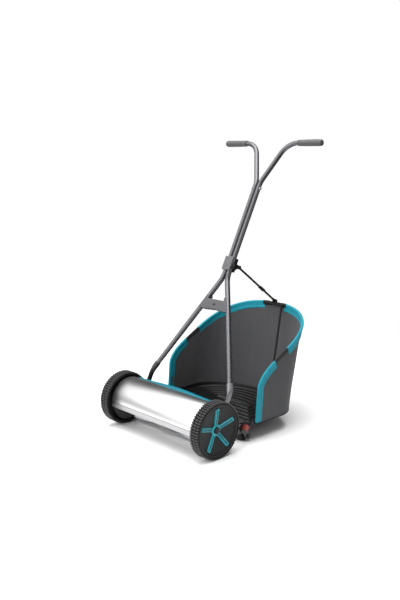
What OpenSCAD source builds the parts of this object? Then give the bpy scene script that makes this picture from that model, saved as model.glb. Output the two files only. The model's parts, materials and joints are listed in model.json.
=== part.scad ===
// Push reel mower with a tubular handle and a hanging grass catcher.
// +Z is up and -Y is the way it is pushed. +X is the user's left. Millimetres.

/* [Chassis] */
// Width over the outer faces of the two wheels
overall_w = 560; // [480:1:680]
// Diameter of the wheels over the tyres
wheel_d = 210; // [200:1:252]
// Width of a wheel
wheel_w = 43.5; // [40:0.5:52]
// Gap between a wheel and the side plate beside it
wheel_gap = 6.5; // [6:0.5:10]
// Thickness of a side plate
plate_t = 6; // [5:0.5:7]
// Radius of the side plates and of the inside of the guard
guard_r = 84; // [78:1:92]
// Thickness of the guard's sheet
guard_t = 2; // [1:0.25:3]
// How far the guard reaches past each side plate
guard_over = 2; // [0:0.5:4]
// Height of the flat strip below the guard's front fold
guard_lip = 22; // [12:1:30]

/* [Cutting reel] */
// Radius of the cutting reel over its blades
reel_r = 70; // [60:1:72]
// Number of helical blades
blade_count = 5; // [4:1:7]
// Turn of each blade from one end to the other
blade_twist = 75; // [40:1:110]
// Radial height of a blade
blade_h = 16; // [12:1:20]
// Thickness of a blade
blade_t = 2.5; // [1.5:0.25:4]
// Radius of the reel shaft
shaft_r = 6; // [5:0.25:7]
// Gap between the blades and the bed knife
knife_gap = 0.5; // [0.2:0.1:2]

/* [Drive] */
// Module of the drive gears
gear_m = 1.5; // [1.3:0.1:1.6]
// Teeth of the ring gear inside each wheel
ring_teeth = 56; // [52:4:60]
// Teeth of each drive pinion
pinion_teeth = 14; // [13:1:15]
// Width of a drive pinion
pinion_w = 12; // [8:1:14]
// Radius of the stub axles
axle_r = 8; // [6:0.5:9]

/* [Rear roller] */
// Radius of the rear roller
roller_r = 22; // [16:1:26]
// Distance of the rear roller behind the wheel axle
roller_back = 200; // [196:1:230]
// Height of the clamp screws above the ground
height_screw_z = 63; // [60:1:66]
// Travel of the roller each way from its middle setting
height_travel = 12; // [8:1:14]
// Radius of the height knobs
height_knob_r = 12; // [9:0.5:13]

/* [Handle] */
// Angle of the handle above the ground
handle_angle = 63; // [55:1:75]
// Distance from the handle pivot up to the grips, along the handle
handle_len = 1086; // [980:1:1300]
// Radius of the lower tubes
lower_r = 10; // [9:0.25:11]
// Radius of the upper tubes
upper_r = 9.5; // [8:0.25:10.5]
// Wall of every handle tube
tube_wall = 1.5; // [1:0.25:2.5]
// Gap between the two tubes where they run side by side
tube_gap = 0.4; // [0.2:0.1:2]
// Height of the clamp's lower end above the pivot, along the handle
clamp_s = 533; // [500:1:600]
// Length of the clamp along the handle
clamp_h = 55; // [48:1:70]
// Radius of the clamp knob
clamp_knob_r = 12; // [9:0.5:15]
// Height of the bracket that spreads the lower tubes, along the handle
spreader_s = 366; // [330:1:400]
// Distance of each grip's outer end from the middle
grip_reach = 252; // [200:1:320]
// Length of a grip
grip_l = 115; // [90:1:140]
// Radius of a grip
grip_r = 13; // [12:0.25:16]

/* [Grass catcher] */
// Width of the grass catcher
catcher_w = 500; // [440:1:540]
// Distance of the catcher's fabric sides behind the wheel axle
catcher_front = 229; // [226:1:250]
// Depth of the straight part of the catcher's sides
catcher_side = 171; // [140:1:220]
// Depth of the curved back at the bottom
back_low = 160; // [120:1:180]
// Length of the straight side at the foot of the fabric
foot_side = 147; // [120:1:160]
// Depth of the curved back at the rim
back_high = 217; // [190:1:260]
// Height of the catcher's floor above the ground
floor_z = 62; // [61:0.5:66]
// Slope of the rim
rim_slope = 0.53; // [0.4:0.01:0.65]
// Thickness of the fabric wall
fabric_t = 3; // [2:0.25:4]
// Width of the edge binding
binding_w = 27; // [18:1:36]
// Radius of the catcher's frame rod
rod_r = 4; // [3:0.25:5]
// Radius of the suspension cord and of the stay
cord_r = 3; // [2:0.25:3.5]

/* [Clearances] */
// Radial clearance of every turning or sliding fit
fit = 0.05; // [0.02:0.01:0.1]
// Gap between moving faces that pass each other
face_gap = 0.3; // [0.2:0.05:0.6]
// Radial play of the suspension cord's hook on the catcher's pin
hook_play = 2.3; // [2:0.1:3]

/* [Hidden] */
$fn = 48;
over = 1;
bend_steps = 7;
tube_sides = 24;

// Chassis, across
wheel_r = wheel_d / 2;
wheel_out = overall_w / 2;
wheel_in = wheel_out - wheel_w;
plate_out = wheel_in - wheel_gap;
plate_in = plate_out - plate_t;

// Chassis, from the side
guard_c = [5, wheel_r];
guard_start = 64;
guard_fold = 176;
plate_foot = 26;
mesh_angle = -15;
gear_centres = gear_m * (ring_teeth - pinion_teeth) / 2;
reel_c = [gear_centres * cos(mesh_angle), wheel_r + gear_centres * sin(mesh_angle)];
pivot = [82.5, wheel_r + 29.5];
pivot_lobe = 16;
rail_c = [160, floor_z + 12];
rail_r = 4;
height_slot_y = 176;
arm_end = height_slot_y + 13;
arm_low = height_screw_z - height_travel - 12;
arm_high = height_screw_z + height_travel + 12;

// Reel
reel_end = plate_in - 21;
bearing_r = 14;
bearing_w = 8;
blade_steps = 18;
spider_count = 5;
spider_t = 3;
spider_r = 24;
spider_arm = 12;
spider_reach = reel_r - blade_h / 2;
pawl_size = [9, 4, 4];

// Bed knife and bed bar
knife_front = reel_c[0] + 15;
knife_top = reel_c[1] - sqrt(reel_r * reel_r - 15 * 15) - knife_gap;
knife_t = 3;
knife_d = 40;
bar_front = knife_front + 15;
bar_t = 4;
bar_d = 29;
bar_h = 20;
screw_r = 3;
screw_head_r = 5.5;
screw_head_t = 3.5;
bar_lug_l = 20;

// Tie bar
tie_y = guard_c[0] + (guard_r + guard_t) * cos(guard_start) + 1;
tie_z = guard_c[1] + (guard_r + guard_t) * sin(guard_start) - 10;
tie_d = 15;
tie_h = 11;
tie_arch = 8;

// Gears
pressure = 20;
ring_pitch_r = gear_m * ring_teeth / 2;
pinion_pitch_r = gear_m * pinion_teeth / 2;
backlash = 0.12;
ring_back_r = ring_pitch_r + 6;
pinion_in = wheel_in + 4;
gear_face = wheel_in + 2.5;

// Wheel, from its inner face and from its axis
rim_r = wheel_r - 7;
rim_t = 6;
dish_r = rim_r - 12;
hub_r = 20;
boss_r = axle_r + 5;
dish = 10;
rim_face = wheel_out - 3;
dish_edge = rim_face - 5;
dish_hub = dish_edge - (dish_r - hub_r) * tan(dish);
hub_face = dish_hub + 1.6;
web_t = 4;
star_arms = 5;
star_phase = 91.5;
star_w = 13;
star_h = 6;
star_tip = dish_r - 4;
star_hub = 22;
clip_r = axle_r + 3.5;
clip_t = 1.2;
cap_r = 13;
cap_h = 6;

// Roller carrier
carrier_t = 4;
carrier_in = plate_out + face_gap;
carrier_out = carrier_in + carrier_t;
roller_c = [roller_back, roller_r];
roller_shaft_r = 6;
roller_end = plate_in - 8;
height_c = [height_slot_y, height_screw_z];
height_knob_w = 16;

// Handle, across and along
lower_x = lower_r + tube_gap / 2;
foot_t = 4;
foot_out = plate_in - 1.5;
foot_in = foot_out - foot_t;
foot_s = 88;
foot_x = foot_in - 6;
foot_w = 22;
foot_tab = 58;
sleeve_l = 24;
sleeve_t = 1.6;
merge_s = clamp_s - 29;
tube_joint_s = clamp_s + clamp_h / 2;
lower_path = [[foot_x, foot_s], [lower_x, merge_s], [lower_x, tube_joint_s]];
lower_bends = [0, 100, 0];
splay = atan2(foot_x - lower_x, merge_s - foot_s);
grip_tube_end = grip_reach - 7;
spread_s = handle_len - 173;
upper_path = [
    [lower_x, tube_joint_s], [lower_x, spread_s],
    [lower_x + 173 * tan(23), handle_len], [grip_tube_end, handle_len]
];
upper_bends = [0, 80, 70, 0];
cross_bolt_s = spread_s - 27;
cross_bolt_r = 2.5;
clamp_w = 2 * lower_x + 2 * lower_r;
clamp_d = lower_r + 7;
clamp_split = 0.4;
clamp_bolt_s = clamp_s + 17;
clamp_bolt_r = 3;
clamp_knob_w = 13;
spreader_h = 42;
spreader_horn = 55;
spreader_d = 22;
spreader_arch = 4;

// Suspension cord, from the handle's hook down to the catcher's clip
sling_n = 52;
sling_s = clamp_s + 34;
sling_pin_r = 3;
sling_eye_r = 6.5;
sling_eye_w = 7;
sling_top = [
    pivot[0] + sling_n * sin(handle_angle) + sling_s * cos(handle_angle),
    pivot[1] - sling_n * cos(handle_angle) + sling_s * sin(handle_angle)
];
clip_pin_r = 2;
hook_in_r = clip_pin_r + hook_play;
hook_out_r = hook_in_r + 3;
hook_w = 6;
slider_l = 34;
slider_w = 13;
slider_t = 9;
slider_at = 0.63;

// Catcher outline: straight sides, then a curved back
half_w = catcher_w / 2;
straight_end = catcher_front + catcher_side;
rim_power = 2 / 2.4;
foot_power = 1;
foot_end = catcher_front + foot_side;
fabric_low = floor_z + 4;
edge_top = [catcher_front + 10, 196];
rim_start = [catcher_front + 99, 287];
edge_ctrl = [catcher_front + 14, 243];
edge_steps = 6;
side_steps = 4;
back_steps = 40;
clip_half = 48;
clip_gap_angle = 79;
pan_clear = 3;
pan_t = 3;
pan_rim_h = 20;
pan_front = arm_end + 5;
pan_lip_front = rail_c[0] + 12;
pan_lip_half = plate_in - 19;
pan_half = half_w - fabric_t - pan_clear;
pan_back = back_low - fabric_t - pan_clear;
hook_wrap_r = rail_r + 4;
pan_hook_w = 24;
pan_hook_xs = [-150, 0, 150];
pan_ring_w = 7;
pan_ring_h = 4;
pan_ring_insets = [26, 58, 90];

// Footprint: the frame's origin is the middle of it, on the ground
rim_rear = straight_end + back_high;
clip_back = rim_rear + 3;
axle_y = -(clip_back - wheel_r) / 2;

rubber = [0.13, 0.13, 0.13];
black = [0.08, 0.08, 0.09];
graphite = [0.25, 0.25, 0.26];
tube_grey = [0.55, 0.55, 0.56];
plastic_grey = [0.5, 0.5, 0.5];
silver = [0.82, 0.82, 0.83];
steel = [0.6, 0.6, 0.62];
teal = [0.0, 0.52, 0.6];
red = [0.65, 0.12, 0.1];
fabric_grey = [0.27, 0.27, 0.28];

// ---------- frames and helpers ----------

// Local origin on the ground under the wheel axle
module frame() {
    translate([0, axle_y, 0]) children();
}

// Local origin on the handle pivot: Z runs up the handle, Y is its rear side
module handle_frame() {
    frame() translate([0, pivot[0], pivot[1]]) rotate([handle_angle - 90, 0, 0]) children();
}

// side 1 is the left, side -1 the right
module on_side(side) {
    scale_x = side > 0 ? [0, 0, 0] : [1, 0, 0];
    mirror(scale_x) children();
}

// A drawing in the Y-Z plane, from x = x0 to x = x1
module side_extrude(x0, x1) {
    translate([x0, 0, 0]) rotate([90, 0, 90]) linear_extrude(height = x1 - x0) children();
}

// A drawing in the X-Z plane, from y = y0 to y = y1
module front_extrude(y0, y1) {
    translate([0, y1, 0]) rotate([90, 0, 0]) linear_extrude(height = y1 - y0) children();
}

// A cylinder along X, centred on the point c = [y, z]
module rod_x(c, r, x0, x1) {
    translate([x0, c[0], c[1]]) rotate([0, 90, 0]) cylinder(r = r, h = x1 - x0);
}

// A turned shape about X: the drawing's X is the radius and its Y is x
module turn_x(c) {
    translate([0, c[0], c[1]]) rotate([90, 0, 90]) rotate_extrude() children();
}

module bolt_x(c, r, head_r, x0, x1, head) {
    rod_x(c, r, x0, x1);
    translate([x1, c[0], c[1]]) rotate([0, 90, 0]) cylinder(r = head_r, h = head, $fn = 6);
}

function unit(v) = v / norm(v);

function heading(p, i) = atan2(p[i + 1][1] - p[i][1], p[i + 1][0] - p[i][0]);

function trim(p, b, i) =
    (i == 0 || i == len(p) - 1) ? 0 : b[i] * tan(abs(heading(p, i) - heading(p, i - 1)) / 2);

// Points of a bend at the corner i of the path p, with a centreline radius of b[i]
function bend_points(p, b, i) =
    let (a = heading(p, i - 1), turn = heading(p, i) - a, way = sign(turn))
    let (c = p[i] - trim(p, b, i) * [cos(a), sin(a)] + way * b[i] * [-sin(a), cos(a)])
    [for (k = [0 : bend_steps]) let (at = a - way * 90 + turn * k / bend_steps)
        c + b[i] * [cos(at), sin(at)]];

function bent_path(p, b) = concat(
    [p[0]],
    [for (i = [1 : len(p) - 2]) each bend_points(p, b, i)],
    [p[len(p) - 1]]
);

// A round hollow tube in the X-Z plane along the points q
module tube_path(q, r) {
    n = len(q);
    m = tube_sides;
    dirs = [for (i = [0 : n - 2]) unit(q[i + 1] - q[i])];
    function cross_dir(i) =
        let (d0 = dirs[max(i - 1, 0)], d1 = dirs[min(i, n - 2)], d = unit(d0 + d1))
        [-d[1], d[0]] / (d * d0);
    function ring_at(i, rr) = [for (k = [0 : m - 1]) let (t = 360 * k / m, v = cross_dir(i))
        [q[i][0] + rr * sin(t) * v[0], rr * cos(t), q[i][1] + rr * sin(t) * v[1]]];
    polyhedron(
        points = concat(
            [for (i = [0 : n - 1]) each ring_at(i, r)],
            [for (i = [0 : n - 1]) each ring_at(i, r - tube_wall)]
        ),
        faces = concat(
            [for (i = [0 : n - 2], k = [0 : m - 1]) let (a = i * m + k, b = i * m + (k + 1) % m)
                each [[a, b, b + m], [a, b + m, a + m]]],
            [for (i = [0 : n - 2], k = [0 : m - 1])
                let (a = (n + i) * m + k, b = (n + i) * m + (k + 1) % m)
                each [[a, b + m, b], [a, a + m, b + m]]],
            [for (k = [0 : m - 1]) let (a = k, b = (k + 1) % m, c = n * m)
                each [[a, c + a, c + b], [a, c + b, b]]],
            [for (k = [0 : m - 1])
                let (a = (n - 1) * m + k, b = (n - 1) * m + (k + 1) % m, c = n * m)
                each [[a, c + b, c + a], [a, b, c + b]]]
        )
    );
}

// Involute tooth flank: polar angle at radius rr of an involute from base radius rb
function inv_angle(rb, rr) = rr <= rb ? 0 : tan(acos(rb / rr)) * 180 / PI - acos(rb / rr);

// Gear outline with its first tooth centred on +X
function gear_points(teeth, tip_r, root_r, slack) =
    let (pr = gear_m * teeth / 2, rb = pr * cos(pressure))
    let (half = 90 / teeth - slack / pr * 90 / PI + inv_angle(rb, pr))
    let (radii = [for (k = [0 : 3]) max(root_r, rb) + (tip_r - max(root_r, rb)) * k / 3])
    [for (t = [0 : teeth - 1]) let (mid = 360 * t / teeth)
        each concat(
            [root_r * [cos(mid - half), sin(mid - half)]],
            [for (rr = radii) let (a = mid - half + inv_angle(rb, rr)) rr * [cos(a), sin(a)]],
            [for (k = [3 : -1 : 0]) let (rr = radii[k], a = mid + half - inv_angle(rb, rr))
                rr * [cos(a), sin(a)]],
            [root_r * [cos(mid + half), sin(mid + half)]]
        )];

// ---------- chassis ----------

module side_plate(side) {
    frame() on_side(side) difference() {
        union() {
            side_extrude(plate_in, plate_out) intersection() {
                translate(guard_c) circle(r = guard_r, $fn = 96);
                translate([guard_c[0] - guard_r, plate_foot]) square(2 * guard_r);
            }
            side_extrude(plate_in, plate_out) polygon([
                [70, plate_foot + 14], [arm_end, arm_low], [arm_end, arm_high],
                [122, arm_high + 14], [pivot[0] + pivot_lobe, pivot[1] - 4],
                [pivot[0] + 8, pivot[1] + 13], [70, pivot[1] + 6]
            ]);
            rod_x(pivot, pivot_lobe, plate_in, plate_out);
            side_extrude(plate_in, plate_out) polygon([
                [tie_y, tie_z], [tie_y + tie_d, tie_z], [tie_y + tie_d, tie_z - 22],
                [tie_y, tie_z - 30]
            ]);
            side_extrude(plate_in, plate_out)
                translate([tie_y, tie_z - over]) square([tie_d, tie_h + over]);
        }
        rod_x([0, wheel_r], axle_r, plate_in - over, plate_out + over);
        rod_x(reel_c, bearing_r, plate_in - over, plate_out + over);
        rod_x(pivot, 4, plate_in - over, plate_out + over);
        rod_x(rail_c, rail_r, plate_in - over, plate_out + over);
        for (c = frame_bolt_places) rod_x(c, screw_r, plate_in - over, plate_out + over);
        for (end = [-1, 1])
            rod_x(height_c + [0, end * height_travel], screw_r + fit, plate_in - over, plate_out + over);
        translate([plate_in - over, height_c[0] - screw_r - fit, height_c[1] - height_travel])
            cube([plate_t + 2 * over, 2 * (screw_r + fit), 2 * height_travel]);
    }
}

module side_plate_left() {
    color(black) side_plate(1);
}

module side_plate_right() {
    color(black) side_plate(-1);
}

// Centres of the bolts that hold the tie bar and the bed bar between the side plates
frame_bolt_places = [
    [tie_y + tie_d / 2, tie_z + tie_h / 2],
    [bar_front + bar_d - 7, knife_top + bar_h - 6]
];

module front_guard() {
    end = plate_out + guard_over;
    mid = (guard_start + guard_fold) / 2;
    reach = 3 * guard_r;
    lip_top = guard_c + guard_r * [-1, sin(guard_fold)];
    color(silver) frame() side_extrude(-end, end) {
        intersection() {
            difference() {
                translate(guard_c) circle(r = guard_r + guard_t, $fn = 128);
                translate(guard_c) circle(r = guard_r, $fn = 128);
            }
            translate(guard_c) polygon([
                [0, 0], reach * [cos(guard_start), sin(guard_start)],
                reach * [cos(mid), sin(mid)], reach * [cos(guard_fold), sin(guard_fold)]
            ]);
        }
        translate(lip_top - [guard_t, guard_lip]) square([guard_t, guard_lip + 1]);
    }
}

module tie_bar() {
    steps = 24;
    color(teal) frame() front_extrude(tie_y, tie_y + tie_d) polygon(concat(
        [for (k = [0 : steps]) let (u = k / steps, x = -plate_in + 2 * plate_in * u)
            [x, tie_z + tie_h * 0.6 + tie_arch * pow(sin(180 * u), 2) + 2]],
        [for (k = [steps : -1 : 0]) let (u = k / steps, x = -plate_in + 2 * plate_in * u)
            [x, tie_z + tie_arch * 0.5 * pow(sin(180 * u), 2)]]
    ));
}

module bed_bar() {
    color(black) frame() difference() {
        side_extrude(-plate_in, plate_in) polygon([
            [bar_front, knife_top], [bar_front + bar_d, knife_top],
            [bar_front + bar_d, knife_top + bar_h], [bar_front + bar_d - bar_t, knife_top + bar_h],
            [bar_front + bar_d - bar_t, knife_top + bar_t], [bar_front, knife_top + bar_t]
        ]);
        for (x = knife_screw_xs) translate([x, bar_front + 9, knife_top - over])
            cylinder(r = screw_r, h = bar_t + 2 * over);
    }
    color(black) frame() for (side = [-1, 1]) on_side(side) difference() {
        translate([plate_in - bar_lug_l, bar_front + bar_d - 14, knife_top + bar_t])
            cube([bar_lug_l, 10, bar_h - bar_t]);
        rod_x(frame_bolt_places[1], screw_r, plate_in - bar_lug_l + 3, plate_in + over);
    }
}

knife_screw_xs = [for (k = [0 : 3]) (k - 1.5) * reel_end * 0.55];

module bed_knife() {
    color(steel) frame() difference() {
        side_extrude(-reel_end, reel_end) polygon([
            [knife_front, knife_top], [knife_front + knife_d, knife_top],
            [knife_front + knife_d, knife_top - knife_t], [knife_front + 4, knife_top - knife_t]
        ]);
        for (x = knife_screw_xs) translate([x, bar_front + 9, knife_top - knife_t - over])
            cylinder(r = screw_r, h = knife_t + 2 * over);
    }
}

module knife_screws() {
    color(steel) frame() for (x = knife_screw_xs) translate([x, bar_front + 9, 0]) {
        translate([0, 0, knife_top - knife_t]) cylinder(r = screw_r, h = knife_t + bar_t);
        translate([0, 0, knife_top - knife_t - 2.5]) cylinder(r = screw_head_r, h = 2.5);
    }
}

module frame_bolts() {
    color(steel) frame() for (side = [-1, 1]) on_side(side) {
        bolt_x(frame_bolt_places[1], screw_r, screw_head_r, plate_in - bar_lug_l + 4, plate_out,
            screw_head_t);
        bolt_x(frame_bolt_places[0], screw_r, screw_head_r, plate_in, plate_out, screw_head_t);
    }
}

module stub_axles() {
    color(steel) frame() for (side = [-1, 1]) on_side(side)
        rod_x([0, wheel_r], axle_r, plate_in, hub_face + 2);
}

module axle_clips() {
    color(steel) frame() for (side = [-1, 1]) on_side(side) difference() {
        rod_x([0, wheel_r], clip_r, hub_face + 0.2, hub_face + 0.2 + clip_t);
        rod_x([0, wheel_r], axle_r, hub_face, hub_face + 3);
    }
}

module reel_bearings() {
    color(steel) frame() for (side = [-1, 1]) on_side(side) difference() {
        rod_x(reel_c, bearing_r, plate_in - 1, plate_in - 1 + bearing_w);
        rod_x(reel_c, shaft_r + fit, plate_in - 2, plate_in + bearing_w);
    }
}

module catcher_rail() {
    color(steel) frame() rod_x(rail_c, rail_r, -plate_out, plate_out);
}

module handle_pivot_bolts() {
    color(steel) frame() for (side = [-1, 1]) on_side(side) {
        rod_x(pivot, 4, foot_in - 0.3, plate_out + 1);
        rod_x(pivot, 7.5, foot_in - 4, foot_in - 0.3);
        rod_x(pivot, 6.5, foot_out + 0.2, plate_in);
        translate([plate_out, pivot[0], pivot[1]]) rotate([0, 90, 0]) cylinder(r = 7, h = 3.5, $fn = 6);
    }
}

// ---------- reel ----------

module reel_shaft() {
    end = pinion_in + pinion_w + 1;
    color(steel) frame() difference() {
        rod_x(reel_c, shaft_r, -end, end);
        for (side = [-1, 1]) on_side(side)
            translate([
                pinion_in + 1.5, reel_c[0] - pawl_size[1] / 2, reel_c[1] + shaft_r - pawl_size[2] - 0.6
            ])
                cube([pawl_size[0], pawl_size[1], pawl_size[2] + over]);
    }
}

module drive_pawls() {
    color(steel) frame() for (side = [-1, 1]) on_side(side)
        translate([pinion_in + 1.5, reel_c[0] - pawl_size[1] / 2, reel_c[1] + shaft_r - pawl_size[2] - 0.6])
            cube([pawl_size[0], pawl_size[1], pawl_size[2] - 0.4]);
}

module reel_spiders() {
    color(graphite) frame() for (k = [0 : spider_count - 1]) {
        at = -1 + 2 * k / (spider_count - 1);
        x = at * (reel_end - 12) - spider_t / 2;
        spin = at * (reel_end - 12) / (2 * reel_end) * blade_twist;
        difference() {
            union() {
                side_extrude(x, x + spider_t) translate(reel_c) {
                    circle(r = spider_r);
                    for (b = [0 : blade_count - 1]) rotate(360 * b / blade_count + spin)
                        translate([0, -spider_arm / 2]) square([spider_reach, spider_arm]);
                }
                rod_x(reel_c, shaft_r + 4, x - 3, x + spider_t + 3);
            }
            rod_x(reel_c, shaft_r, x - 4, x + spider_t + 4);
        }
    }
}

module reel_blades() {
    section = [
        [reel_r - blade_h, -blade_t / 2], [reel_r - 0.06, -blade_t / 2],
        [reel_r - 0.06, blade_t / 2], [reel_r - blade_h, blade_t / 2]
    ];
    turns = [for (k = [0 : blade_steps]) (k / blade_steps - 0.5) * blade_twist];
    path = [for (k = [0 : blade_steps]) [(2 * k / blade_steps - 1) * reel_end, 0, 0]];
    color(steel) frame() translate([0, reel_c[0], reel_c[1]])
        for (b = [0 : blade_count - 1]) let (first = 360 * b / blade_count)
            sweep(path, [for (t = turns) [0, cos(first + t), sin(first + t)]],
                [for (t = turns) [0, -sin(first + t), cos(first + t)]], section);
}

// ---------- drive ----------

module drive_pinion(side) {
    tip = pinion_pitch_r + 0.85 * gear_m;
    root = pinion_pitch_r - 1.2 * gear_m;
    frame() on_side(side) difference() {
        translate([pinion_in, reel_c[0], reel_c[1]]) rotate([90, 0, 90]) rotate([0, 0, mesh_angle])
            linear_extrude(height = pinion_w) polygon(gear_points(pinion_teeth, tip, root, backlash));
        rod_x(reel_c, shaft_r + fit, pinion_in - over, pinion_in + pinion_w + over);
    }
}

module drive_pinion_left() {
    color(graphite) drive_pinion(1);
}

module drive_pinion_right() {
    color(graphite) drive_pinion(-1);
}

// ---------- wheels ----------

module wheel(side) {
    space_tip = ring_pitch_r + 1.15 * gear_m;
    space_root = ring_pitch_r - 0.62 * gear_m;
    frame() on_side(side) {
        turn_x([0, wheel_r]) polygon([
            [axle_r + fit, wheel_in + 1.5], [boss_r, wheel_in + 1.5], [boss_r, dish_hub - web_t],
            [hub_r, dish_hub - web_t], [dish_r, dish_edge - web_t], [rim_r - rim_t, dish_edge - web_t],
            [rim_r - rim_t, wheel_in + 1.5], [rim_r, wheel_in + 1.5], [rim_r, rim_face],
            [dish_r + 2, rim_face], [dish_r, dish_edge], [hub_r, dish_hub], [hub_r, hub_face],
            [axle_r + fit, hub_face]
        ]);
        difference() {
            rod_x([0, wheel_r], ring_back_r, gear_face, dish_hub);
            translate([gear_face - over, 0, wheel_r]) rotate([90, 0, 90])
                rotate([0, 0, mesh_angle])
                    linear_extrude(height = dish_hub - gear_face + 2 * over)
                        polygon(gear_points(ring_teeth, space_tip, space_root, -backlash));
        }
    }
}

module wheel_left() {
    color(graphite) wheel(1);
}

module wheel_right() {
    color(graphite) wheel(-1);
}

module tyre(side) {
    frame() on_side(side) turn_x([0, wheel_r]) polygon([
        [rim_r - 3, wheel_in], [wheel_r - 2, wheel_in], [wheel_r, wheel_in + 2.5],
        [wheel_r, wheel_out - 2.5], [wheel_r - 2.5, wheel_out], [rim_r - 1, wheel_out],
        [rim_r - 1, rim_face], [rim_r, rim_face], [rim_r, wheel_in + 1.5], [rim_r - 3, wheel_in + 1.5]
    ]);
}

module tyre_left() {
    color(rubber) tyre(1);
}

module tyre_right() {
    color(rubber) tyre(-1);
}

module hub_star(side) {
    frame() on_side(side) difference() {
        union() {
            rod_x([0, wheel_r], star_hub, dish_hub + 1.7, hub_face + 7);
            for (k = [0 : star_arms - 1])
                translate([dish_hub + 0.1, 0, wheel_r]) rotate([star_phase + 72 * k, 0, 0])
                    translate([0, hub_r, 0]) rotate([0, 0, -dish])
                        translate([0, 0, -star_w / 2])
                            cube([star_h, (star_tip - hub_r) / cos(dish), star_w]);
        }
        rod_x([0, wheel_r], cap_r - 1, dish_hub, hub_face + 8);
        rod_x([0, wheel_r], cap_r + 0.3, hub_face + 3, hub_face + 8);
        rod_x([0, wheel_r], hub_r + 0.05, dish_hub, hub_face);
    }
}

module hub_star_left() {
    color(teal) hub_star(1);
}

module hub_star_right() {
    color(teal) hub_star(-1);
}

module axle_cap(side) {
    frame() on_side(side) translate([hub_face + 3, 0, wheel_r]) rotate([0, 90, 0])
        cylinder(r = cap_r, h = cap_h, $fn = 6);
}

module axle_cap_left() {
    color(black) axle_cap(1);
}

module axle_cap_right() {
    color(black) axle_cap(-1);
}

// ---------- rear roller ----------

module roller_bracket(side) {
    frame() on_side(side) difference() {
        union() {
            side_extrude(carrier_in, carrier_out) polygon([
                height_c + [-12, -12], height_c + [-12, 12], height_c + [11, 12],
                height_c + [11, -12], roller_c + [11, 5], roller_c + [-11, -5]
            ]);
            rod_x(roller_c, 12, carrier_in, carrier_out);
        }
        rod_x(roller_c, roller_shaft_r, carrier_in - over, carrier_out + over);
        rod_x(height_c, screw_r, carrier_in - over, carrier_out + over);
    }
}

module roller_bracket_left() {
    color(black) roller_bracket(1);
}

module roller_bracket_right() {
    color(black) roller_bracket(-1);
}

module roller_shaft() {
    color(steel) frame() {
        rod_x(roller_c, roller_shaft_r, -carrier_out - 2, carrier_out + 2);
        for (side = [-1, 1]) on_side(side) rod_x(roller_c, 9, carrier_out, carrier_out + 3);
    }
}

module height_screws() {
    color(steel) frame() for (side = [-1, 1]) on_side(side) {
        rod_x(height_c, screw_r, plate_in - face_gap, carrier_out + height_knob_w - 4);
        rod_x(height_c, 7, plate_in - face_gap - 4, plate_in - face_gap);
    }
}

module rear_roller() {
    color(black) frame() turn_x(roller_c) polygon([
        [roller_shaft_r + fit, -roller_end], [roller_r - 2, -roller_end],
        [roller_r, -roller_end + 2], [roller_r, roller_end - 2], [roller_r - 2, roller_end],
        [roller_shaft_r + fit, roller_end]
    ]);
}

module height_knob(side) {
    from = carrier_out + 0.2;
    frame() on_side(side) difference() {
        union() {
            rod_x(height_c, height_knob_r - 2, from, from + height_knob_w);
            for (k = [0 : 5])
                rod_x(height_c + (height_knob_r - 3) * [cos(60 * k), sin(60 * k)], 3, from + 4,
                    from + height_knob_w);
        }
        rod_x(height_c, screw_r + fit, from - over, from + height_knob_w - 3);
    }
}

module height_knob_left() {
    color(red) height_knob(1);
}

module height_knob_right() {
    color(red) height_knob(-1);
}

// ---------- handle ----------

module handle_foot(side) {
    inset = 0.4;
    handle_frame() on_side(side) difference() {
        union() {
            rod_x([0, 0], foot_w / 2 + 2, foot_in, foot_out);
            translate([foot_in, -foot_w / 2, 0]) cube([foot_t, foot_w, foot_tab]);
            hull() {
                translate([foot_in + inset, inset - foot_w / 2, foot_tab - 2 * over])
                    cube([foot_t - 2 * inset, foot_w - 2 * inset, over]);
                translate([foot_x, 0, foot_s]) rotate([0, -splay, 0]) translate([0, 0, -2 * over])
                    cylinder(r = lower_r + sleeve_t - inset, h = over, $fn = 32);
            }
            translate([foot_x, 0, foot_s]) rotate([0, -splay, 0]) translate([0, 0, -3 * over])
                cylinder(r = lower_r + sleeve_t, h = sleeve_l + 3 * over);
        }
        translate([foot_x, 0, foot_s]) rotate([0, -splay, 0]) cylinder(r = lower_r, h = sleeve_l + over);
        rod_x([0, 0], 4 + fit, foot_in - over, foot_out + over);
    }
}

module handle_foot_left() {
    color(graphite) handle_foot(1);
}

module handle_foot_right() {
    color(graphite) handle_foot(-1);
}

module lower_tube(side) {
    handle_frame() on_side(side) difference() {
        tube_path(bent_path(lower_path, lower_bends), lower_r);
        rod_x([0, clamp_bolt_s], clamp_bolt_r, 0, clamp_w);
    }
}

module lower_tube_left() {
    color(tube_grey) lower_tube(1);
}

module lower_tube_right() {
    color(tube_grey) lower_tube(-1);
}

// Distance of a lower tube's centreline from the middle at the height s
function tube_x(s) = foot_x - (s - foot_s) * tan(splay);

module spreader_bracket() {
    low = spreader_s;
    top = low + spreader_h;
    horn = low + spreader_horn;
    half = [
        [0, low + spreader_arch], [tube_x(low) - 20, low], [tube_x(low) + 1, low + 1],
        [tube_x(low + 8) + 2, low + 8], [tube_x(horn) + 2, horn], [tube_x(horn) - 11, horn],
        [tube_x(top) - 13, top], [0, top]
    ];
    color(plastic_grey) handle_frame() difference() {
        front_extrude(-spreader_d / 2, spreader_d / 2)
            polygon(concat(half, [for (k = [len(half) - 2 : -1 : 1]) [-half[k][0], half[k][1]]]));
        for (side = [-1, 1]) on_side(side) translate([foot_x, 0, foot_s]) rotate([0, -splay, 0])
            cylinder(r = lower_r, h = merge_s);
        translate([0, over + spreader_d / 2, low + 22]) rotate([90, 0, 0])
            cylinder(r = 2, h = spreader_d + 2 * over);
    }
}

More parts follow.
